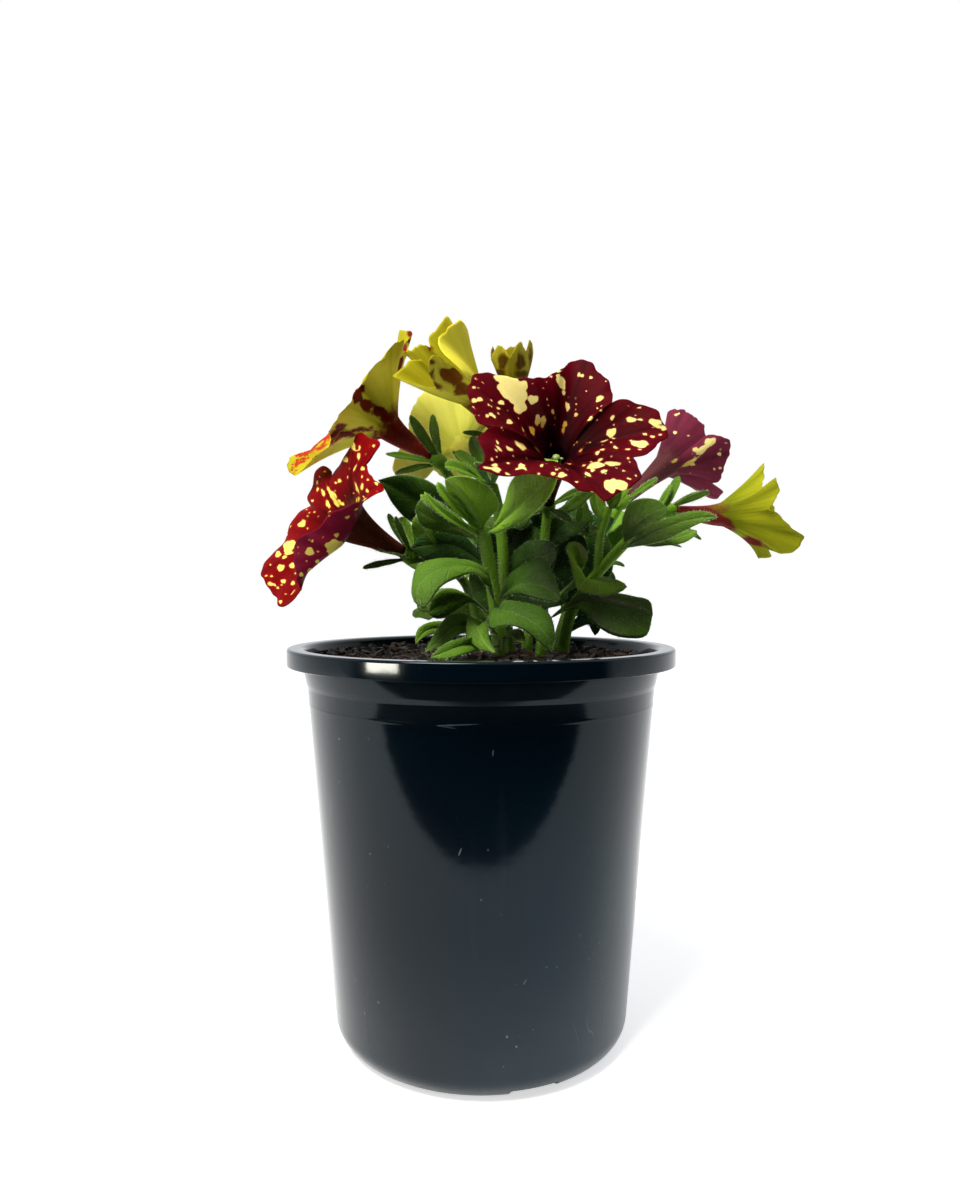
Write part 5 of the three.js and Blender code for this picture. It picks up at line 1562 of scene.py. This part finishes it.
    {
        "name": "bud_small", "finish": "budGold", "slot": "petal_yellow_green", "finer": -14,
        "neck": [14, 23, 231], "throat": [13, 22, 240],
        "facing": [-0.04, -0.05, 1], "top": [0, 1, 0], "throatRadius": 4, "flare": 0.85, "rise": 8,
        "ruffle": 0.2, "rufflePhase": 0, "pistil": False,
        "rim": [
            [(526, 352, 17), (530, 339, 20), (533, 349, 23)],
            [(532, 357, 26), (522, 349, 29), (512, 346, 30), (503, 352, 29)],
            [(498, 357, 27), (495, 352, 26), (493, 347, 24), (491, 351, 22)],
            [(491, 358, 19), (498, 346, 16), (504, 348, 14)],
            [(510, 358, 13), (514, 350, 12), (520, 341, 14)],
        ],
        "marks": [],
        "stainsAndShade": [(503, 362, 18, 10, 80), (520, 362, 18, 9, 90), (500, 372, 14, 8, 0),
                   (522, 374, 14, 8, 0), (530, 360, 20, 3, 90)],
        "sepals": {"length": 10, "width": 2.6, "spread": 34, "turn": 0},
    },
]


# colours from deep to bright: inside, outside, marks from the throat outwards, and the dark of stains,
# painted shade and the darkening at the neck. The neck is that darkening's strength and the shares of the
# length over which it fades
petalLooks = {
    "darkRed": {
        "inner": ("#180002", "#5c000d"), "outer": ("#3a0414", "#7c1030"),
        "mark": ("#b8902c", "#e3cb62", "#f6eaa0"), "markRagged": 0.4,
        "halo": ("#74081c", 0.5), "specks": 0.5,
        "blotchAndShade": ("#120002", "#24040a"), "stainAndShadeRagged": 1,
        "neck": (0.6, 0.1, 0.4),
    },
    "brightRed": {
        "inner": ("#340002", "#8c0308"), "outer": ("#5a0c1c", "#8e1c3a"),
        "mark": ("#e6cc50", "#e2c84c", "#f4e680"), "markRagged": 0.4,
        "halo": ("#961a18", 0.5), "specks": 0.4,
        "blotchAndShade": ("#3e1c12", "#64321e"), "stainAndShadeRagged": 1,
        "neck": (0.9, 0.2, 0.42),
    },
    "yellowGreen": {
        "inner": ("#8c8412", "#b8ae20"), "outer": ("#cabc28", "#f0e24c"),
        "mark": ("#8c1c0e", "#86180e", "#c0461a"), "markRagged": 2.4,
        "halo": ("#b0561a", 0.5), "specks": 0,
        "blotchAndShade": ("#4c140c", "#8a2418"), "stainAndShadeRagged": 3.4,
        "neck": (1, 0.28, 0.5),
    },
    # the dark colour of this finish paints the shade inside the half-open top bud
    "yellowWithPaintedShade": {
        "inner": ("#8c8412", "#b8ae20"), "outer": ("#c0b424", "#ece048"),
        "mark": ("#8c1c0e", "#86180e", "#c0461a"), "markRagged": 2.4,
        "halo": ("#a8781c", 0.4), "specks": 0,
        "blotchAndShade": ("#5a3006", "#9a5a12"), "stainAndShadeRagged": 3,
        "neck": (1, 0.2, 0.44),
    },
    "budGold": {
        "inner": ("#6c5c0a", "#a8981e"), "outer": ("#8a7c0e", "#beb236"),
        "mark": ("#d8c848", "#d8c848", "#e8dc70"), "markRagged": 0.5,
        "halo": ("#a83a14", 0.2), "specks": 0,
        "blotchAndShade": ("#3a2404", "#6e4c08"), "stainAndShadeRagged": 2,
        "neck": (0.3, 0.1, 0.3),
    },
    "greenYellow": {
        "inner": ("#84900a", "#b4b41c"), "outer": ("#6c740c", "#a2a21c"),
        "mark": ("#d8cc40", "#d8cc40", "#ece478"), "markRagged": 0.5,
        "halo": ("#c8c838", 0.2), "specks": 0,
        "blotchAndShade": ("#4a2420", "#82201e"), "stainAndShadeRagged": 1.6,
        "neck": (0.9, 0.16, 0.36),
    },
    "paleYellow": {
        "inner": ("#c4c458", "#e2dc88"), "outer": ("#a4a634", "#c8c258"),
        "mark": ("#efe79a", "#efe79a", "#faf6c8"), "markRagged": 0.5,
        "halo": ("#e0d870", 0.2), "specks": 0,
        "blotchAndShade": ("#7c3a30", "#8c4434"), "stainAndShadeRagged": 2,
        "neck": (0.6, 0.05, 0.3),
    },
    "purple": {
        "inner": ("#30060f", "#701022"), "outer": ("#421422", "#7a2c40"),
        "mark": ("#c8b050", "#cdb858", "#efe6a0"), "markRagged": 0.5,
        "halo": ("#8a3a4c", 0.4), "specks": 0.3,
        "blotchAndShade": ("#5c3a34", "#6e4640"), "stainAndShadeRagged": 1,
        "neck": (0.5, 0.1, 0.5),
    },
}


# pot

potShape = {
    "facets": 144,
    "height": 140, "rimRadius": 70, "rimDepth": 6.2, "rimWall": 1.4, "rimRounding": 1.0,
    "bodyTop": 64.5, "baseRadius": 52.4, "corner": 9, "wall": 1.4, "baseRings": (20, 38),
    "bodyRings": (20, 40, 60, 80, 100, 112),
    "moulding": ((119.6, 0), (120, 1), (120.8, 1), (121.2, 0)), "ringStep": 0.1,    # a faint raised ring
    "shoulder": 126, "step": 0.6,
    "notches": 4, "notchTurn": -70, "notchWidth": 17, "notchHeight": 3.6, "notchRounding": 0.8,
    "smoothBelow": 38,      # degrees
}


def bodyRadius(z):
    p = potShape
    return p["baseRadius"] + (p["bodyTop"] - p["step"] - p["baseRadius"]) * z / p["height"]


def potProfile():
    # (radius, height) from the middle of the base, up the outside, over the rim and down the inside
    p = potShape
    corner, wall, height, rim, neck = p["corner"], p["wall"], p["height"], p["rimRadius"], p["bodyTop"]
    line = [(radius, 0) for radius in (*p["baseRings"], bodyRadius(0) - corner - 1)]
    for angle in range(10, 91, 10):
        turn = math.radians(angle)
        line.append((bodyRadius(corner) - corner * (1 - math.sin(turn)), corner * (1 - math.cos(turn))))
    line += [(bodyRadius(z), z) for z in p["bodyRings"]]
    line += [(bodyRadius(z) + p["ringStep"] * share, z) for z, share in p["moulding"]]
    top = p["shoulder"]
    waist, step = bodyRadius(top), p["step"]
    line += [(waist, top), (waist + 0.12, top + 0.3), (waist + step - 0.1, top + 1.7),
             (waist + step, top + 2)]
    foot = height - p["rimDepth"]
    under, inside = height - p["rimWall"], rim - p["rimWall"]
    line += [(neck - 0.02, foot), (neck, under - 0.3), (neck + 0.3, under), (inside - 0.3, under)]
    line += [(inside, under - 0.3), (inside, foot + 0.1), (inside + 0.1, foot), (rim - 0.35, foot)]
    line += [(rim - 0.1, foot + 0.15), (rim, foot + 0.5), (rim, foot + 2.6), (rim, height - p["rimRounding"])]
    for angle in range(18, 91, 18):
        turn, rounding = math.radians(angle), p["rimRounding"]
        line.append((rim - rounding * (1 - math.cos(turn)), height - rounding * (1 - math.sin(turn))))
    line += [(neck + 1.4, height), (neck + 0.4, height - 0.12), (neck - 0.5, height - 0.5),
             (neck - wall, height - 1.5)]
    line += [(waist + step - wall, top + 2), (waist - wall, top)]
    line += [(bodyRadius(z) - wall, z) for z in (100, 60, 20, corner)]
    line += [(bodyRadius(corner) - wall - 2.7, 3.2), (bodyRadius(0) - corner, wall),
             (p["baseRings"][0], wall)]
    return line


# scuffs on the pot's front: middle in the photo, half length and half width in mm, tilt in degrees, strength
potScuffs = [
    (458, 725, 6, 0.22, 3, 0.6), (446, 727, 3, 0.2, -8, 0.4), (493, 753, 1.1, 0.25, 85, 0.6),
    (460, 852, 1.3, 0.25, 70, 0.7), (339, 739, 0.4, 0.4, 0, 0.8), (339, 782, 0.3, 0.3, 0, 0.6),
    (370, 854, 0.3, 0.3, 0, 0.6), (525, 982, 1, 0.2, 60, 0.6), (507, 1037, 0.4, 0.4, 0, 1),
    (488, 850, 0.3, 0.3, 0, 0.5), (481, 900, 0.3, 0.3, 0, 0.6),
]


def onPotFront(px, py):
    y = -potShape["bodyTop"]
    for _ in range(4):
        x, y, z = fromPhoto(px, py, y)
        y = -math.sqrt(max(bodyRadius(z) ** 2 - x * x, 1))
    return x, z


def addPot(finish):
    deselectAll()
    profile = potProfile()
    radius, z = profile[0]
    bpy.ops.mesh.primitive_circle_add(vertices=potShape["facets"], radius=radius * mm, fill_type="TRIFAN",
                                      location=(0, 0, z * mm))
    pot = bpy.context.object
    pot.name = "pot_fine"
    bpy.ops.object.mode_set(mode="EDIT")
    bpy.ops.mesh.select_mode(type="EDGE")
    bpy.ops.mesh.select_all(action="DESELECT")
    bpy.ops.mesh.select_non_manifold()
    for newRadius, newZ in profile[1:]:
        bpy.ops.mesh.extrude_region_move(TRANSFORM_OT_translate={"value": (0, 0, (newZ - z) * mm)})
        share = newRadius / radius
        bpy.ops.transform.resize(value=(share, share, 1), center_override=(0, 0, newZ * mm))
        radius, z = newRadius, newZ
    bpy.ops.mesh.merge(type="CENTER")
    bpy.ops.mesh.select_all(action="SELECT")
    bpy.ops.mesh.normals_make_consistent(inside=False)
    bpy.ops.object.mode_set(mode="OBJECT")
    bpy.ops.object.transform_apply(location=True)
    for i in range(potShape["notches"]):
        turn = math.radians(potShape["notchTurn"] + i * 360 / potShape["notches"])
        deselectAll()
        reach = bodyRadius(0)
        spot = (reach * math.cos(turn) * mm, reach * math.sin(turn) * mm, 0)
        bpy.ops.mesh.primitive_cube_add(size=1, location=spot, rotation=(0, 0, turn))
        cutter = bpy.context.object
        depth, width, rise = 2 * potShape["corner"], potShape["notchWidth"], 2 * potShape["notchHeight"]
        cutter.scale = (depth * mm, width * mm, rise * mm)
        bpy.ops.object.transform_apply(location=True, rotation=True, scale=True)
        bevel = cutter.modifiers.new("soften", "BEVEL")
        bevel.width = potShape["notchRounding"] * mm
        bevel.segments = 3
        bpy.ops.object.modifier_apply(modifier="soften")
        deselectAll()
        pot.select_set(True)
        bpy.context.view_layer.objects.active = pot
        cut = pot.modifiers.new("notch", "BOOLEAN")
        cut.operation = "DIFFERENCE"
        cut.solver = "EXACT"
        cut.object = cutter
        bpy.ops.object.modifier_apply(modifier="notch")
        bpy.data.objects.remove(cutter)
    bpy.ops.object.shade_smooth_by_angle(angle=math.radians(potShape["smoothBelow"]))
    even = pot.modifiers.new("even", "WEIGHTED_NORMAL")
    even.keep_sharp = True
    bpy.ops.object.modifier_apply(modifier="even")
    wear(pot, finish)
    handOver(pot, "pot")
    return pot


# potting mix

mixShape = {
    "level": 136, "relief": 0.8, "around": 120, "rings": 44,
    "reach": 60.5,
    "chips": 620, "chipSizes": ((1.6, 6), (1, 2.6), (0.7, 1.6)),
    "crumbs": 1700, "crumbSizes": (0.6, 2.2), "crumbStretch": (0.7, 1.2),
    "fibres": 190, "fibreLengths": (4, 13), "fibreRadii": [0.12, 0.2, 0.08], "fibreBend": 1.5,
    "unevenness": 0.13, "chipTilt": 0.3, "crumbTilt": 0.8,
    "seed": 5,
}


def mixHeight(x, y):
    grain = np.sin(x * 0.41 + 1) * np.cos(y * 0.37) + 0.6 * np.sin(x * 0.93 - y * 0.71)
    return mixShape["level"] + mixShape["relief"] * grain


def roughHeight(x, y):
    fine = 0.35 * np.sin(x * 2.3 + np.cos(y * 1.7)) * np.cos(y * 2.9) + 0.2 * np.sin(x * 5.1 + y * 4.3)
    return mixHeight(x, y) + fine - 0.5


def addMixBody():
    around, rings = mixShape["around"], mixShape["rings"]
    angle = np.linspace(0, 2 * np.pi, around, endpoint=False)
    inside = lambda z: bodyRadius(z) - potShape["wall"] - 0.3
    rows = []
    corner, shoulder = potShape["corner"], potShape["shoulder"]
    below = ((0, 1.8), (42, 1.8), (inside(corner) - 3.6, 4.5), (inside(corner) - 0.3, 10),
             (inside(shoulder) - 0.3, shoulder))
    for radius, z in below:
        rows.append(np.stack([radius * np.cos(angle), radius * np.sin(angle), np.full(around, z)], axis=1))
    top = inside(mixShape["level"]) - 0.3
    for share in np.linspace(1, 0, rings):
        x, y = top * share * np.cos(angle), top * share * np.sin(angle)
        z = roughHeight(x, y) - 0.8 * share ** 20
        rows.append(np.stack([x, y, z], axis=1))
    places = np.array(rows)
    return shapedTube("mix_body", around, len(places) - 1, places, {"tone": 0.2})


def scatter(name, corners, faces, places, turns, sizes, tones):
    # copies of one small shape, each with its own place, turn, size and tone
    count = len(corners)
    points = np.einsum("nij,nkj->nki", turns, corners[None] * sizes[:, None]) + places[:, None]
    copies = [tuple(i + k * count for i in face) for k in range(len(places)) for face in faces]
    mesh = bpy.data.meshes.new(name)
    mesh.from_pydata((points.reshape(-1, 3) * mm).tolist(), [], copies)
    attribute = mesh.attributes.new("tone", "FLOAT", "POINT")
    attribute.data.foreach_set("value", np.repeat(tones, count))
    piece = bpy.data.objects.new(name, mesh)
    bpy.context.scene.collection.objects.link(piece)
    return piece


def turnsOf(rng, count, tilt):
    # random turn about Z after a small tilt
    result = []
    for _ in range(count):
        a, b, c = rng.uniform(0, 2 * math.pi), rng.normal(0, tilt), rng.normal(0, tilt)
        turnZ = np.array([[math.cos(a), -math.sin(a), 0], [math.sin(a), math.cos(a), 0], [0, 0, 1]])
        turnX = np.array([[1, 0, 0], [0, math.cos(b), -math.sin(b)], [0, math.sin(b), math.cos(b)]])
        turnY = np.array([[math.cos(c), 0, math.sin(c)], [0, 1, 0], [-math.sin(c), 0, math.cos(c)]])
        result.append(turnZ @ turnX @ turnY)
    return np.array(result)


def modelShape(kind, rng):
    # one chip or crumb about 1 across, made uneven
    deselectAll()
    if kind == "chip":
        bpy.ops.mesh.primitive_cube_add(size=1)
        bpy.ops.object.mode_set(mode="EDIT")
        bpy.ops.mesh.subdivide(number_cuts=1)
        bpy.ops.object.mode_set(mode="OBJECT")
    else:
        bpy.ops.mesh.primitive_ico_sphere_add(subdivisions=1, radius=0.5)
    shape = bpy.context.object
    corners = np.array([v.co for v in shape.data.vertices], float)
    faces = [tuple(p.vertices) for p in shape.data.polygons]
    bpy.data.objects.remove(shape)
    return corners * (1 + rng.normal(0, mixShape["unevenness"], (len(corners), 1))), faces


def discPlaces(rng, count, lift, reach):
    radius = reach * np.sqrt(rng.uniform(0, 1, count))
    angle = rng.uniform(0, 2 * np.pi, count)
    x, y = radius * np.cos(angle), radius * np.sin(angle)
    return np.stack([x, y, roughHeight(x, y) + lift], axis=1)


def addMix(finish):
    rng = np.random.default_rng(mixShape["seed"])
    pieces = [addMixBody()]
    for _ in range(3):
        corners, faces = modelShape("chip", rng)
        count = mixShape["chips"] // 3
        sizes = np.stack([rng.uniform(*span, count) for span in mixShape["chipSizes"]], axis=1)
        places = discPlaces(rng, count, 0.3 + rng.uniform(0, 0.8), mixShape["reach"] - 4)
        turns = turnsOf(rng, count, mixShape["chipTilt"])
        pieces.append(scatter("chips", corners, faces, places, turns, sizes, rng.uniform(0, 1, count)))
    for _ in range(2):
        corners, faces = modelShape("crumb", rng)
        count = mixShape["crumbs"] // 2
        sizes = rng.uniform(*mixShape["crumbSizes"], (count, 1))
        sizes = sizes * rng.uniform(*mixShape["crumbStretch"], (count, 3))
        places = discPlaces(rng, count, 0.35, mixShape["reach"] - 1)
        turns = turnsOf(rng, count, mixShape["crumbTilt"])
        pieces.append(scatter("crumbs", corners, faces, places, turns, sizes, rng.uniform(0, 0.7, count)))
    for _ in range(mixShape["fibres"]):
        start = discPlaces(rng, 1, rng.uniform(0.3, 1.4), mixShape["reach"] - 8)[0]
        way = rng.uniform(0, 2 * math.pi)
        length = rng.uniform(*mixShape["fibreLengths"])
        bend = rng.normal(0, mixShape["fibreBend"], 3) * (1, 1, 0.3)
        end = start + np.array([math.cos(way), math.sin(way), rng.normal(0, 0.12)]) * length
        path = [start, (start + end) / 2 + bend, end]
        pieces.append(tubeAlong("fibre", path, mixShape["fibreRadii"], sides=4, step=1.8,
                                tone=rng.uniform(0.4, 1))[0])
    piece = joinPieces("potting_mix_fine", pieces)
    wear(piece, finish)
    handOver(piece, "potting_mix")
    return piece


# everything together

finishes = {
    "foliage": foliageFinish(),
    "hair": hairFinish(),
    "pistil": pistilFinish(),
}
for name, looks in petalLooks.items():
    finishes[name] = petalFinish(name, looks)

addCamera()
addWorld()
addFloor()
addSoftLight(studio["sideLight"])
addSoftLight(studio["topLight"])
bpy.context.scene.view_settings.view_transform = "Standard"
print("studio ready")
addPot(potFinish())
print("pot ready")
addMix(mixFinish())
print("potting mix ready")
for shoot in shoots:
    shootPiece(shoot, blooms, finishes)
print("leafy stems ready")
for bloom in blooms:
    bloomPiece(bloom, finishes)
print("blooms ready")

for piece in bpy.data.objects:
    if piece.type == "MESH" and not piece.hide_render:
        print(piece.name, "triangles", sum(len(p.vertices) - 2 for p in piece.data.polygons))
